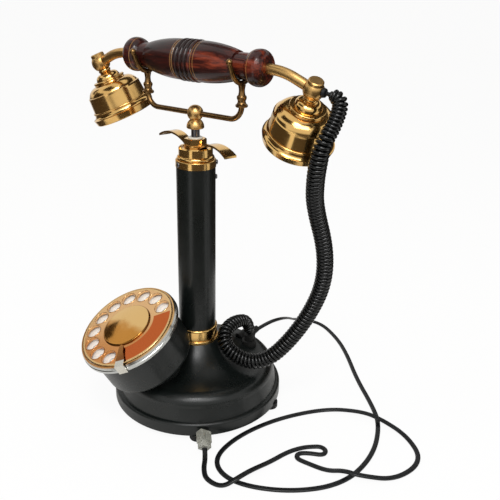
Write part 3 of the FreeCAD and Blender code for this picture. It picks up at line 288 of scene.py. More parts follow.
def makeSpun(name, look):
    # sheet metal polished on the lathe: fine rings round the dial's middle, a painted reflection that is
    # lighter on one side and darker on the other and, on the wheel, a redder field where it has no holes,
    # also a painted reflection
    # the rings are drawn coarser than the real polish so that they show
    material, tree, shader = newMaterial(name)
    place = addNode(tree, "ShaderNodeTexCoord")
    local = addNode(tree, "ShaderNodeMapping", {
        "Vector": (place, "Object"), "Location": dialMiddle, "Rotation": dialTurn}, vector_type="TEXTURE")
    flat = addNode(tree, "ShaderNodeVectorMath", {0: (local, 0), 1: (1.0, 1.0, 0.0)}, operation="MULTIPLY")
    reach = addNode(tree, "ShaderNodeVectorMath", {0: (flat, 0)}, operation="LENGTH")
    rings = addNode(tree, "ShaderNodeTexNoise", {
        "W": (reach, "Value"), "Scale": 1 / (look["lineMm"] * mm), "Detail": 3.0}, noise_dimensions="1D")
    patch = addNode(tree, "ShaderNodeTexNoise", {
        "Vector": (place, "Object"), "Scale": 1 / (look["patchMm"] * mm), "Detail": 5.0, "Roughness": 0.6})
    # painted reflection: the colour goes from the lighter first colour to the darker second one along this
    # side direction
    reflectionAcross = addNode(tree, "ShaderNodeVectorMath", {0: (flat, 0), 1: look["side"]}, operation="DOT_PRODUCT")
    uneven = addNode(tree, "ShaderNodeMath", {
        0: (patch, 0), 1: spinLook["unevenMm"] * mm, 2: (reflectionAcross, "Value")}, operation="MULTIPLY_ADD")
    # the noise lies round a half, so the painted reflection's change of colour moves out by half of its shift
    start, end = (distance + spinLook["unevenMm"] / 2 for distance in look["sideMm"])
    share = addNode(tree, "ShaderNodeMapRange", {
        "Value": (uneven, 0), "From Min": start * mm, "From Max": end * mm}, interpolation_type="SMOOTHSTEP")
    plain = addNode(tree, "ShaderNodeMix", {
        0: (share, 0), 6: linear(look["colour"]), 7: linear(look["second"])}, data_type="RGBA")
    # painted reflection: on the wheel, a redder field in the sector without holes, outside fieldMm
    if "reflectedField" in look:
        sides = addNode(tree, "ShaderNodeSeparateXYZ", {0: (flat, 0)})
        turn = addNode(tree, "ShaderNodeMath", {0: (sides, 1), 1: (sides, 0)}, operation="ARCTAN2")
        within = addNode(tree, "ShaderNodeMath", {
            0: (turn, 0), 1: math.radians(look["fieldTurn"][0]), 2: math.radians(look["fieldTurn"][1])},
            operation="COMPARE")
        beyond = addNode(tree, "ShaderNodeMapRange", {
            "Value": (reach, "Value"), "From Min": look["fieldMm"] * mm,
            "From Max": (look["fieldMm"] + spinLook["fieldSoftMm"]) * mm})
        reflectedFieldShare = addNode(tree, "ShaderNodeMath", {0: (within, 0), 1: (beyond, 0)}, operation="MULTIPLY")
        plain = addNode(tree, "ShaderNodeMix", {
            0: (reflectedFieldShare, 0), 6: (plain, 2), 7: linear(look["reflectedField"])}, data_type="RGBA")
    rimShare = addNode(tree, "ShaderNodeMapRange", {
        "Value": (reach, "Value"), "From Min": (look["rimMm"] - spinLook["rimSoftMm"]) * mm,
        "From Max": (look["rimMm"] + spinLook["rimSoftMm"]) * mm})
    colour = addNode(tree, "ShaderNodeMix", {
        0: (rimShare, 0), 6: (plain, 2), 7: linear(look["rim"])}, data_type="RGBA")
    mixed = addNode(tree, "ShaderNodeMath", {0: (rings, 0), 1: (patch, 0)}, operation="MULTIPLY")
    sheen = addNode(tree, "ShaderNodeMapRange", {
        "Value": (mixed, 0), "From Min": spinLook["sheenFrom"][0], "From Max": spinLook["sheenFrom"][1],
        "To Min": look["roughness"][0], "To Max": look["roughness"][1]})
    bump = addNode(tree, "ShaderNodeBump", {
        "Height": (rings, 0), "Strength": spinLook["ring"], "Distance": spinLook["ringDepthMm"] * mm})
    feed(tree, shader, colour=(colour, 2), roughness=(sheen, 0), normal=(bump, 0))
    shader.inputs["Metallic"].default_value = 1.0
    return material


# handle: lines are places along it from its middle, beads the middle and half length of the stained stretch
woodLook = {"dark": "#120504", "middle": "#330e09", "light": "#7c2f17", "line": "#a87a44", "grainMm": 1.6,
            "broadMm": 9.0, "grainShare": 0.55, "drawnOut": 0.09, "darkAt": 0.56, "middleAt": 0.78,
            "lightAt": 0.98, "lines": (-9.9, -8.6, 8.3, 11.0, -52.4, 55.4), "lineMm": 0.24, "lineShare": 0.6,
            "beads": (-1.5, 7.6), "beadShare": 0.7, "roughness": (0.32, 0.46), "pore": 0.08,
            "poreDepthMm": 0.1, "coat": 0.4, "coatRoughness": 0.1, "specular": 0.2}


def makeRosewood(name, look):
    # turned rosewood under a thick lacquer: long dark grain along the handle and pale rings cut into it
    material, tree, shader = newMaterial(name)
    place = addNode(tree, "ShaderNodeTexCoord")
    local = addNode(tree, "ShaderNodeMapping", {
        "Vector": (place, "Object"), "Location": handleMiddle, "Rotation": handleTurn}, vector_type="TEXTURE")
    drawn = addNode(tree, "ShaderNodeMapping", {"Vector": (local, 0), "Scale": (look["drawnOut"], 1.0, 1.0)})
    grain = addNode(tree, "ShaderNodeTexNoise", {
        "Vector": (drawn, 0), "Scale": 1 / (look["grainMm"] * mm), "Detail": 6.0, "Roughness": 0.65,
        "Distortion": 0.4})
    broad = addNode(tree, "ShaderNodeTexNoise", {
        "Vector": (drawn, 0), "Scale": 1 / (look["broadMm"] * mm), "Detail": 3.0})
    both = addNode(tree, "ShaderNodeMath", {0: (grain, 0), 1: look["grainShare"], 2: (broad, 0)},
                   operation="MULTIPLY_ADD")
    ramp = addNode(tree, "ShaderNodeValToRGB", {0: (both, 0)})
    ramp.color_ramp.elements[0].position = look["darkAt"]
    ramp.color_ramp.elements[0].color = linear(look["dark"])
    ramp.color_ramp.elements[1].position = look["lightAt"]
    ramp.color_ramp.elements[1].color = linear(look["light"])
    ramp.color_ramp.elements.new(look["middleAt"]).color = linear(look["middle"])
    along = addNode(tree, "ShaderNodeSeparateXYZ", {0: (local, 0)})
    lineShare = None
    for spot in look["lines"]:
        near = addNode(tree, "ShaderNodeMath", {0: (along, 0), 1: spot * mm, 2: look["lineMm"] * mm},
                       operation="COMPARE")
        lineShare = near if lineShare is None else addNode(
            tree, "ShaderNodeMath", {0: (lineShare, 0), 1: (near, 0)}, operation="MAXIMUM")
    faint = addNode(tree, "ShaderNodeMath", {0: (lineShare, 0), 1: look["lineShare"]}, operation="MULTIPLY")
    beaded = addNode(tree, "ShaderNodeMath", {
        0: (along, 0), 1: look["beads"][0] * mm, 2: look["beads"][1] * mm}, operation="COMPARE")
    stained = addNode(tree, "ShaderNodeMath", {0: (beaded, 0), 1: look["beadShare"]}, operation="MULTIPLY")
    wood = addNode(tree, "ShaderNodeMix", {
        0: (stained, 0), 6: (ramp, 0), 7: linear(look["dark"])}, data_type="RGBA")
    colour = addNode(tree, "ShaderNodeMix", {
        0: (faint, 0), 6: (wood, 2), 7: linear(look["line"])}, data_type="RGBA")
    sheen = addNode(tree, "ShaderNodeMapRange", {
        "Value": (grain, 0), "To Min": look["roughness"][0], "To Max": look["roughness"][1]})
    bump = addNode(tree, "ShaderNodeBump", {
        "Height": (grain, 0), "Strength": look["pore"], "Distance": look["poreDepthMm"] * mm})
    feed(tree, shader, colour=(colour, 2), roughness=(sheen, 0), normal=(bump, 0))
    shader.inputs["Coat Weight"].default_value = look["coat"]
    shader.inputs["Coat Roughness"].default_value = look["coatRoughness"]
    shader.inputs["Specular IOR Level"].default_value = look["specular"]
    return material


plasticLooks = {
    "glossyVinyl": {"colour": "#040505", "second": "#0b0c0d", "roughness": (0.08, 0.16), "specular": 0.44,
                    "grainMm": 2.6, "bump": 0.05},
    "cableVinyl": {"colour": "#0b0c0e", "second": "#16181a", "roughness": (0.26, 0.42), "specular": 0.36,
                   "grainMm": 3.0, "bump": 0.06},
    "blackRubber": {"colour": "#0c0c0c", "second": "#1f1f1e", "roughness": (0.5, 0.7), "specular": 0.3,
                    "grainMm": 0.9, "bump": 0.2},
    "whiteEnamel": {"colour": "#fdfcf8", "second": "#f1eee6", "roughness": (0.22, 0.36), "specular": 0.5,
                    "grainMm": 6.0, "bump": 0.02},
    "whiteNylon": {"colour": "#d9d6cc", "second": "#bcb7aa", "roughness": (0.4, 0.55), "specular": 0.4,
                   "grainMm": 2.0, "bump": 0.06},
    "capsuleBakelite": {"colour": "#1a1614", "second": "#2b231e", "roughness": (0.3, 0.45), "specular": 0.4,
                        "grainMm": 1.5, "bump": 0.05},
    "boardGreen": {"colour": "#2d5138", "second": "#3f6b46", "roughness": (0.35, 0.5), "specular": 0.4,
                   "grainMm": 1.2, "bump": 0.08},
    "greyInk": {"colour": "#8b877f", "second": "#a19c92", "roughness": (0.4, 0.55), "specular": 0.3,
                "grainMm": 0.8, "bump": 0.05},
}
# what these share: how many grains wide the mottling is, and the depth of a grain
mouldLook = {"mottleGrains": 3, "toneFrom": (0.38, 0.72), "sheenFrom": (0.3, 0.7), "grainDepthMm": 0.1}


def makePlastic(name, look):
    # moulded or drawn plastic, rubber and baked paint: mottled tone and gloss with a light grain
    material, tree, shader = newMaterial(name)
    place = addNode(tree, "ShaderNodeTexCoord")
    mottleMm = mouldLook["mottleGrains"] * look["grainMm"]
    mottle = addNode(tree, "ShaderNodeTexNoise", {
        "Vector": (place, "Object"), "Scale": 1 / (mottleMm * mm), "Detail": 5.0, "Roughness": 0.6})
    grain = addNode(tree, "ShaderNodeTexNoise", {
        "Vector": (place, "Object"), "Scale": 1 / (look["grainMm"] * mm), "Detail": 3.0})
    share = addNode(tree, "ShaderNodeMapRange", {
        "Value": (mottle, 0), "From Min": mouldLook["toneFrom"][0], "From Max": mouldLook["toneFrom"][1]})
    colour = addNode(tree, "ShaderNodeMix", {
        0: (share, 0), 6: linear(look["colour"]), 7: linear(look["second"])}, data_type="RGBA")
    sheen = addNode(tree, "ShaderNodeMapRange", {
        "Value": (mottle, 0), "From Min": mouldLook["sheenFrom"][0], "From Max": mouldLook["sheenFrom"][1],
        "To Min": look["roughness"][0], "To Max": look["roughness"][1]})
    bump = addNode(tree, "ShaderNodeBump", {
        "Height": (grain, 0), "Strength": look["bump"], "Distance": mouldLook["grainDepthMm"] * mm})
    feed(tree, shader, colour=(colour, 2), roughness=(sheen, 0), normal=(bump, 0))
    shader.inputs["Specular IOR Level"].default_value = look["specular"]
    return material


clearLook = {"colour": "#e2e2d8", "second": "#77776a", "roughness": (0.12, 0.3), "swirlMm": 2.5,
             "swirl": 0.15, "swirlDepthMm": 0.2, "clearness": 0.55, "refraction": 1.58}


def makeClear(name, look):
    # moulded polycarbonate: half see-through, faintly grey, with flow marks
    material, tree, shader = newMaterial(name)
    place = addNode(tree, "ShaderNodeTexCoord")
    swirl = addNode(tree, "ShaderNodeTexNoise", {
        "Vector": (place, "Object"), "Scale": 1 / (look["swirlMm"] * mm), "Detail": 3.0, "Distortion": 1.2})
    colour = addNode(tree, "ShaderNodeMix", {
        0: (swirl, 0), 6: linear(look["colour"]), 7: linear(look["second"])}, data_type="RGBA")
    sheen = addNode(tree, "ShaderNodeMapRange", {
        "Value": (swirl, 0), "To Min": look["roughness"][0], "To Max": look["roughness"][1]})
    bump = addNode(tree, "ShaderNodeBump", {
        "Height": (swirl, 0), "Strength": look["swirl"], "Distance": look["swirlDepthMm"] * mm})
    feed(tree, shader, colour=(colour, 2), roughness=(sheen, 0), normal=(bump, 0))
    shader.inputs["Transmission Weight"].default_value = look["clearness"]
    shader.inputs["IOR"].default_value = look["refraction"]
    return material


finishes = {"satinEnamel": makeEnamel("satinEnamel", enamelLook),
            "rosewood": makeRosewood("rosewood", woodLook),
            "clearPlastic": makeClear("clearPlastic", clearLook)}
for looks, make in ((metalLooks, makeMetal), (spunLooks, makeSpun), (plasticLooks, makePlastic)):
    for name, look in looks.items():
        finishes[name] = make(name, look)
print("finishes made:", len(finishes))

nodeFinishes = {
    "satinEnamel": ("base_shell", "column_tube", "dial_housing"),
    "polishedBrass": ("column_collar", "column_cap", "receiver_cup", "receiver_cap", "transmitter_cup",
                      "transmitter_cap", "ringer_gongs", "plug_contacts", "cap_nut", "carrying_wings"),
    "agedBrass": ("left_arm", "right_arm", "left_elbow", "right_elbow", "cradle_bell", "cradle_ball",
                  "dial_frame", "main_gear", "governor_rotor"),
    "darkBronze": ("cradle_rod", "left_ferrule", "right_ferrule", "left_fork", "right_fork"),
    "stopBronze": ("finger_stop",),
    "spunCopper": ("finger_wheel",),
    "spunBrass": ("wheel_cap",),
    "brightNickel": ("dial_shaft",),
    "giltNickel": ("dial_bezel",),
    "darkSteel": ("plunger_rod", "plunger_spring", "return_spring", "housing_screws", "foot_screws",
                  "cap_screws", "hook_contacts"),
    "zincSteel": ("base_plate", "column_stem", "stem_nut", "hook_bracket", "hook_lever", "ringer_frame",
                  "ringer_clapper"),
    "windingCopper": ("ringer_coils",),
    "rosewood": ("handle",),
    "blackRubber": ("rubber_feet", "cord_glands", "handset_sleeve"),
    "whiteEnamel": ("number_plate",),
    "whiteNylon": ("plunger_bush",),
    "capsuleBakelite": ("receiver_unit", "transmitter_unit"),
    "boardGreen": ("circuit_board",),
    "glossyVinyl": ("handset_cord",),
    "cableVinyl": ("line_cord",),
    "clearPlastic": ("line_plug",),
}
for name, members in nodeFinishes.items():
    dress(finishes[name], *members)
dressed = sum(len(members) for members in nodeFinishes.values())
print("nodes dressed:", dressed)


# dial details: rolled rims round the finger holes and the numerals under them, in millimetres and degrees
dialLook = {"holes": 10, "first": 68.5, "step": 25.5, "reach": 30.3, "holeRadius": 5.7, "lip": 0.32,
            "plate": -4.0, "numeralMm": 5.2, "inkMm": 0.12, "weldMm": 0.001}
dialMatrix = Matrix.Translation(dialMiddle) @ dialTurn.to_matrix().to_4x4()


def makeRimTree():
    # sets one rolled lip on every point, flat on the dial
    tree, group, identifiers = newTree("holeRims", {
        "Hole Radius": "Float", "Lip": "Float", "Tilt": "Rotation", "Material": "Material"})
    reach = addNode(tree, "ShaderNodeMath", {0: (group, "Hole Radius"), 1: (group, "Lip")}, operation="ADD")
    circle = addNode(tree, "GeometryNodeCurvePrimitiveCircle", {"Resolution": 40, "Radius": (reach, 0)})
    section = addNode(tree, "GeometryNodeCurvePrimitiveCircle", {"Resolution": 10, "Radius": (group, "Lip")})
    lip = addNode(tree, "GeometryNodeCurveToMesh", {"Curve": (circle, 0), "Profile Curve": (section, 0)})
    smooth = addNode(tree, "GeometryNodeSetShadeSmooth", {"Geometry": (lip, 0)})
    spots = addNode(tree, "GeometryNodeMeshToPoints", {"Mesh": (group, "Geometry")})
    rims = addNode(tree, "GeometryNodeInstanceOnPoints", {
        "Points": (spots, 0), "Instance": (smooth, 0), "Rotation": (group, "Tilt")})
    finishTree(tree, group, (rims, 0))
    return tree, identifiers


def holeSpots(look, height):
    turns = [math.radians(look["first"] + look["step"] * i) for i in range(look["holes"])]
    return [Vector((look["reach"] * math.cos(t), look["reach"] * math.sin(t), height)) * mm for t in turns]


def makeRims(look):
    mesh = bpy.data.meshes.new("holeSpots")
    mesh.from_pydata([dialMatrix @ spot for spot in holeSpots(look, 0.0)], [], [])
    source = newObject("holeSpots", mesh)
    tree, identifiers = makeRimTree()
    rims = newObject("holeRims", grow(source, tree, identifiers, {
        "Hole Radius": look["holeRadius"] * mm, "Lip": look["lip"] * mm, "Tilt": dialTurn,
        "Material": finishes["spunCopper"]}))
    bpy.data.objects.remove(source)
    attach(rims, "dial")
    print("hole rims:", len(rims.data.polygons), "faces")


def makeNumerals(look):
    shape = bmesh.new()
    halfInk = look["inkMm"] / 2 * mm
    for i, spot in enumerate(holeSpots(look, look["plate"])):
        curve = bpy.data.curves.new("numeral", "FONT")
        curve.body = str((i + 1) % look["holes"])
        curve.size = look["numeralMm"] * mm
        curve.extrude = halfInk
        curve.resolution_u = 4
        curve.align_x = "CENTER"
        curve.align_y = "CENTER"
        holder = newObject("numeral", curve)
        mesh = plainMesh(holder)
        bpy.data.objects.remove(holder)
        mesh.transform(dialMatrix @ Matrix.Translation(spot + Vector((0.0, 0.0, halfInk))))
        shape.from_mesh(mesh)
    bmesh.ops.remove_doubles(shape, verts=shape.verts, dist=look["weldMm"] * mm)
    bmesh.ops.recalc_face_normals(shape, faces=shape.faces)
    mesh = bpy.data.meshes.new("numerals")
    shape.to_mesh(mesh)
    shape.free()
    mesh.materials.append(finishes["greyInk"])
    numerals = newObject("numerals", mesh)
    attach(numerals, "base")
    print("numerals:", len(mesh.polygons), "faces")


makeRims(dialLook)
makeNumerals(dialLook)


# cords: the points of their routes are those of the part, in millimetres, with some moved
def routeObject(name, points):
    # the route as a smooth line along a NURBS spline, as vertices and edges
    curve = bpy.data.curves.new(name, "CURVE")
    curve.dimensions = "3D"
    curve.resolution_u = 24
    spline = curve.splines.new("NURBS")
    spline.points.add(len(points) - 1)
    for point, place in zip(spline.points, points):
        point.co = (place[0] * mm, place[1] * mm, place[2] * mm, 1.0)
    spline.order_u = 3
    spline.use_endpoint_u = True
    holder = newObject(name, curve)
    mesh = plainMesh(holder)
    bpy.data.objects.remove(holder)
    return newObject(name, mesh)


# slim is the coil's radius at its ends and swell the distance to the full one, crowd the stretch at the
# handset that takes the extra turns, straight and ease the plain end and the start of the coil, lowZ and
# highZ the heights between which the cord stretches when the handset is lifted
curlLook = {"wire": 2.8, "radius": 5.0, "slim": 3.4, "swell": 55.0, "turns": 112.0, "extraTurns": 3.0,
            "crowd": 34.0, "straight": 2.2, "ease": 5.0, "turnSteps": 20, "sides": 12, "length": 3400.0,
            "lowZ": 46.0, "highZ": 266.0}
curlRoute = [(101.33, 34.24, 266.86), (106.0, 35.85, 266.2), (112.7, 38.1, 263.2), (113.9, 32.5, 250.4),
             (111.7, 24.6, 237.3), (108.7, 24.1, 224.1), (103.9, 27.0, 208.7), (96.2, 35.0, 189.2),
             (94.5, 50.2, 152.4), (90.5, 54.7, 122.3), (81.0, 51.1, 93.9), (68.6, 41.4, 66.3),
             (57.5, 29.0, 48.2), (45.5, 16.9, 45.2), (29.6, 8.2, 52.8), (21.6, 11.3, 62.6),
             (15.2, 26.2, 66.1), (11.5, 46.0, 60.0), (11.5, 46.0, 44.0)]


def makeCurlTree():
    # winds a wire round the route: plain ends, slim turns that swell to the full coil, crowded at the handset
    tree, group, identifiers = newTree("curlyCoil", {
        "Turns": "Float", "Extra Turns": "Float", "Crowd": "Float", "Coil Radius": "Float",
        "Slim Radius": "Float", "Swell": "Float", "Wire Radius": "Float", "Straight": "Float",
        "Ease": "Float", "Steps": "Int", "Sides": "Int", "Line Only": "Bool", "Material": "Material"})
    line = addNode(tree, "GeometryNodeMeshToCurve", {0: (group, "Geometry")})
    even = addNode(tree, "GeometryNodeResampleCurve", {"Curve": (line, 0), "Count": (group, "Steps")})
    along = addNode(tree, "GeometryNodeSplineParameter")
    whole = addNode(tree, "GeometryNodeSplineLength")
    left = addNode(tree, "ShaderNodeMath", {0: (whole, 0), 1: (along, "Length")}, operation="SUBTRACT")
    nearEnd = addNode(tree, "ShaderNodeMath", {0: (left, 0), 1: (along, "Length")}, operation="MINIMUM")
    wound = addNode(tree, "ShaderNodeMath", {0: (group, "Straight"), 1: (group, "Ease")}, operation="ADD")
    started = addNode(tree, "ShaderNodeMapRange", {
        "Value": (nearEnd, 0), "From Min": (group, "Straight"), "From Max": (wound, 0)},
        interpolation_type="SMOOTHSTEP")
    swollen = addNode(tree, "ShaderNodeMapRange", {
        "Value": (nearEnd, 0), "From Max": (group, "Swell"), "To Min": (group, "Slim Radius"),
        "To Max": (group, "Coil Radius")})
    reach = addNode(tree, "ShaderNodeMath", {0: (started, 0), 1: (swollen, 0)}, operation="MULTIPLY")
    crowded = addNode(tree, "ShaderNodeMapRange", {
        "Value": (along, "Length"), "From Max": (group, "Crowd"), "To Max": (group, "Extra Turns")})
    turns = addNode(tree, "ShaderNodeMath", {
        0: (along, "Factor"), 1: (group, "Turns"), 2: (crowded, 0)}, operation="MULTIPLY_ADD")
    angle = addNode(tree, "ShaderNodeMath", {0: (turns, 0), 1: math.tau}, operation="MULTIPLY")
    cosine = addNode(tree, "ShaderNodeMath", {0: (angle, 0)}, operation="COSINE")
    sine = addNode(tree, "ShaderNodeMath", {0: (angle, 0)}, operation="SINE")
    normal = addNode(tree, "GeometryNodeInputNormal")
    tangent = addNode(tree, "GeometryNodeInputTangent")
    other = addNode(tree, "ShaderNodeVectorMath", {0: (tangent, 0), 1: (normal, 0)},
                    operation="CROSS_PRODUCT")
    first = addNode(tree, "ShaderNodeVectorMath", {0: (normal, 0), "Scale": (cosine, 0)}, operation="SCALE")
    second = addNode(tree, "ShaderNodeVectorMath", {0: (other, 0), "Scale": (sine, 0)}, operation="SCALE")
    outward = addNode(tree, "ShaderNodeVectorMath", {0: (first, 0), 1: (second, 0)}, operation="ADD")
    offset = addNode(tree, "ShaderNodeVectorMath", {0: (outward, 0), "Scale": (reach, 0)}, operation="SCALE")
    coil = addNode(tree, "GeometryNodeSetPosition", {"Geometry": (even, 0), "Offset": (offset, 0)})
    section = addNode(tree, "GeometryNodeCurvePrimitiveCircle", {
        "Resolution": (group, "Sides"), "Radius": (group, "Wire Radius")})
    tube = addNode(tree, "GeometryNodeCurveToMesh", {
        "Curve": (coil, 0), "Profile Curve": (section, 0), "Fill Caps": True})
    smooth = addNode(tree, "GeometryNodeSetShadeSmooth", {"Geometry": (tube, 0)})
    bare = addNode(tree, "GeometryNodeCurveToMesh", {"Curve": (coil, 0)})
    pick = addNode(tree, "GeometryNodeSwitch", {
        "Switch": (group, "Line Only"), "False": (smooth, 0), "True": (bare, 0)}, input_type="GEOMETRY")
    finishTree(tree, group, (pick, 0))
    return tree, identifiers


def makeCurlyCord(look, route):
    source = routeObject("curlRoute", route)
    tree, identifiers = makeCurlTree()
    steps = round((look["turns"] + look["extraTurns"]) * look["turnSteps"])
    values = {"Turns": look["turns"], "Extra Turns": look["extraTurns"], "Crowd": look["crowd"] * mm,
              "Coil Radius": look["radius"] * mm, "Slim Radius": look["slim"] * mm,
              "Swell": look["swell"] * mm, "Wire Radius": look["wire"] / 2 * mm,
              "Straight": look["straight"] * mm, "Ease": look["ease"] * mm, "Steps": steps,
              "Sides": look["sides"], "Line Only": False, "Material": finishes["glossyVinyl"]}
    cord = newObject("curlyCord", grow(source, tree, identifiers, values))
    path = grow(source, tree, identifiers, dict(values, **{"Line Only": True}))
    bpy.data.objects.remove(source)
    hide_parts("handset_cord")
    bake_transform(cord)
    print("curly cord:", len(cord.data.polygons), "faces")


makeCurlyCord(curlLook, curlRoute)

# heights of the line cord's middle: on the table, over a stretch below it and over the bend by the plug
floorRest = 1.1
overRest = 5.6
overBend = 6.4
lineLook = {"width": 3.8, "thick": 2.1, "corner": 0.9, "steps": 1100, "length": 974.0}
lineRoute = [(-3, 66.67, 37.66), (-3, 78.32, 40.56), (-8, 97, 37), (-19, 117, 27), (-33, 136, 13.5),
             (-44, 154, 3.5), (-28, 170, floorRest), (4, 162, floorRest), (32, 148.5, floorRest),
             (70, 124, floorRest), (106, 105.5, floorRest), (128, 91, floorRest), (152, 58, floorRest),
             (161, 18, floorRest), (144, -19, floorRest), (113, -46, floorRest), (85.5, -44, floorRest),
             (72.9, -15, floorRest), (72.7, 27, floorRest), (86, 70, floorRest), (110, 86.5, overRest),
             (126, 92.5, overRest), (151, 98, floorRest), (178, 84, floorRest), (180, 52, floorRest),
             (165, 30, overRest), (154, 24.5, overRest), (143.5, 18.2, floorRest), (128.2, 12.0, floorRest),
             (120.8, 9.4, floorRest), (117.4, 11.4, floorRest), (116.6, 15.3, floorRest),
             (121.6, 21.7, floorRest), (128.9, 27.9, floorRest), (126.6, 33.5, floorRest),
             (120.6, 33.7, floorRest), (116.6, 28.2, floorRest), (112.6, 20.5, floorRest),
             (110.2, 8.0, floorRest), (111.2, -9.0, floorRest), (115.0, -30, overBend), (116, -43, overBend),
             (112.5, -54, floorRest), (99, -58.5, floorRest), (88.5, -53.5, floorRest), (80.52, -46.51, 2.1),
             (74.1, -42.8, 5.1)]


def makeCableTree():
    # draws a flat cable along the route with its broad side down
    tree, group, identifiers = newTree("flatCable", {
        "Width": "Float", "Thick": "Float", "Corner": "Float", "Steps": "Int", "Material": "Material"})
    line = addNode(tree, "GeometryNodeMeshToCurve", {0: (group, "Geometry")})
    even = addNode(tree, "GeometryNodeResampleCurve", {"Curve": (line, 0), "Count": (group, "Steps")})
    level = addNode(tree, "GeometryNodeSetCurveNormal", {"Curve": (even, 0)}, mode="Z_UP")
    plain = addNode(tree, "GeometryNodeCurvePrimitiveQuadrilateral", {
        "Width": (group, "Width"), "Height": (group, "Thick")})
    section = addNode(tree, "GeometryNodeFilletCurve", {
        "Curve": (plain, 0), "Radius": (group, "Corner"), "Count": 5}, mode="POLY")
    tube = addNode(tree, "GeometryNodeCurveToMesh", {
        "Curve": (level, 0), "Profile Curve": (section, 0), "Fill Caps": True})
    smooth = addNode(tree, "GeometryNodeSetShadeSmooth", {"Geometry": (tube, 0)})
    finishTree(tree, group, (smooth, 0))
    return tree, identifiers


def makeLineCord(look, route):
    source = routeObject("lineRoute", route)
    tree, identifiers = makeCableTree()
    cord = newObject("lineCord", grow(source, tree, identifiers, {
        "Width": look["width"] * mm, "Thick": look["thick"] * mm, "Corner": look["corner"] * mm,
        "Steps": look["steps"], "Material": finishes["cableVinyl"]}))
    bpy.data.objects.remove(source)
    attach(cord, "base")
    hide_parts("line_cord")
    print("line cord:", len(cord.data.polygons), "faces")


makeLineCord(lineLook, lineRoute)

# stage, in metres: a screen has its first and last turn in degrees and its low and high edge,
# a ceiling or a floor strip its first and last turn and its near and far edge
stageLook = {"floorReach": 14.0, "floorColour": "#fbfaf8", "glow": 0.92, "sky": "#fdfdfb", "world": 0.54,
             "mirrored": 0.9, "cloth": "#40362b", "clothRoughness": 0.9, "clothReach": 2.4, "clothTop": 2.1,
             "darkFloor": 0.002, "stripDegrees": 8, "leastSteps": 3,
             "screens": ((-146, -94, 0.0, 1.3), (40, 140, 0.0, 1.3), (-168, -152, 0.6, 1.45)),
             "ceilings": ((-130, 170, 0.9, 2.3),),
             "floors": ((-178, -76, 0.26, 2.3), (-57, 16, 0.2, 2.3), (50, 150, 0.26, 2.3))}


def makeFloor(look):
    # white paper that takes the shadow, lit up evenly for the camera
    mesh = bpy.data.meshes.new("floor")
    shape = bmesh.new()
    bmesh.ops.create_circle(shape, cap_ends=True, segments=64, radius=look["floorReach"])
    shape.to_mesh(mesh)
    shape.free()
    floor = newObject("floor", mesh)
    material = bpy.data.materials.new("paperFloor")
    tree = emptyTree(material)
    path = addNode(tree, "ShaderNodeLightPath")
    shown = addNode(tree, "ShaderNodeMath", {0: (path, "Is Camera Ray"), 1: (path, "Is Transmission Ray")},
                    operation="MAXIMUM")
    paper = addNode(tree, "ShaderNodeBsdfDiffuse", {"Color": linear(look["floorColour"])})
    glow = addNode(tree, "ShaderNodeEmission", {"Color": (1.0, 1.0, 1.0, 1.0), "Strength": 1.0})
    share = addNode(tree, "ShaderNodeMath", {0: (shown, 0), 1: look["glow"]}, operation="MULTIPLY")
    mix = addNode(tree, "ShaderNodeMixShader", {0: (share, 0), 1: (paper, 0), 2: (glow, 0)})
    addNode(tree, "ShaderNodeOutputMaterial", {"Surface": (mix, 0)})
    mesh.materials.append(material)


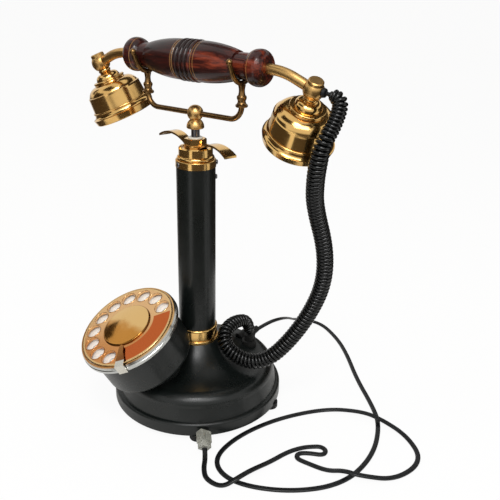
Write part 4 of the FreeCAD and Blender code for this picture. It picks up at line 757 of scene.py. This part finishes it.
def makeFlags(look):
    # dark screens, a dark ceiling and dark floor round the part, seen only in reflections,
    # so that the bright metal has something to mirror
    mesh = bpy.data.meshes.new("darkFlags")
    shape = bmesh.new()
    reach = look["clothReach"]
    strips = [(first, last, (reach, low), (reach, high)) for first, last, low, high in look["screens"]]
    for kind, height in (("ceilings", look["clothTop"]), ("floors", look["darkFloor"])):
        strips += [(first, last, (near, height), (far, height)) for first, last, near, far in look[kind]]
    for first, last, *edges in strips:
        steps = max(look["leastSteps"], (last - first) // look["stripDegrees"])
        rows = []
        for step in range(steps + 1):
            angle = math.radians(first + (last - first) * step / steps)
            rows.append([shape.verts.new((r * math.cos(angle), r * math.sin(angle), z)) for r, z in edges])
        for (a, b), (c, d) in zip(rows, rows[1:]):
            shape.faces.new((a, c, d, b))
    shape.to_mesh(mesh)
    shape.free()
    flags = newObject("darkFlags", mesh)
    material, tree, shader = newMaterial("darkCloth")
    shader.inputs["Base Color"].default_value = linear(look["cloth"])
    shader.inputs["Roughness"].default_value = look["clothRoughness"]
    mesh.materials.append(material)
    flags.visible_camera = False
    flags.visible_diffuse = False
    flags.visible_shadow = False
    flags.visible_transmission = False


def makeWorld(look):
    # plain white room: full white behind the part, dimmer where it lights, in between where it is mirrored
    world = bpy.data.worlds.new("studioWorld")
    tree = emptyTree(world)
    path = addNode(tree, "ShaderNodeLightPath")
    plain = addNode(tree, "ShaderNodeMapRange", {
        "Value": (path, "Is Glossy Ray"), "To Min": look["world"], "To Max": look["mirrored"]})
    seen = addNode(tree, "ShaderNodeMath", {0: (path, "Is Camera Ray"), 1: (path, "Is Transmission Ray")},
                   operation="MAXIMUM")
    level = addNode(tree, "ShaderNodeMath", {0: (plain, 0), 1: (seen, 0)}, operation="MAXIMUM")
    light = addNode(tree, "ShaderNodeBackground", {"Color": linear(look["sky"]), "Strength": (level, 0)})
    addNode(tree, "ShaderNodeOutputWorld", {"Surface": (light, 0)})
    bpy.context.scene.world = world


# lamps, in metres and watts, all turned to a point on the column
lampAim = Vector((0.0, 0.0, 0.15))
lampLooks = {
    "ceilingLamp": {"place": (0.58, -0.45, 1.27), "power": 3.6, "size": (0.26, 0.26), "mirrored": True},
    "softWindow": {"place": (0.9, -0.56, 1.16), "power": 9.5, "size": (1.1, 0.6), "mirrored": True},
    "windowLamp": {"place": (-0.7, -0.9, 0.8), "power": 2.2, "size": (0.3, 0.8), "mirrored": False},
}


def makeLamp(name, look):
    data = bpy.data.lights.new(name, "AREA")
    data.shape = "RECTANGLE"
    data.size, data.size_y = look["size"]
    data.energy = look["power"]
    lamp = newObject(name, data)
    lamp.location = look["place"]
    lamp.visible_glossy = look["mirrored"]
    lamp.rotation_euler = (lampAim - lamp.location).to_track_quat("-Z", "Y").to_euler()


makeFloor(stageLook)
makeFlags(stageLook)
makeWorld(stageLook)
for name, look in lampLooks.items():
    makeLamp(name, look)
bpy.context.scene.view_settings.view_transform = "Standard"
print("stage set")
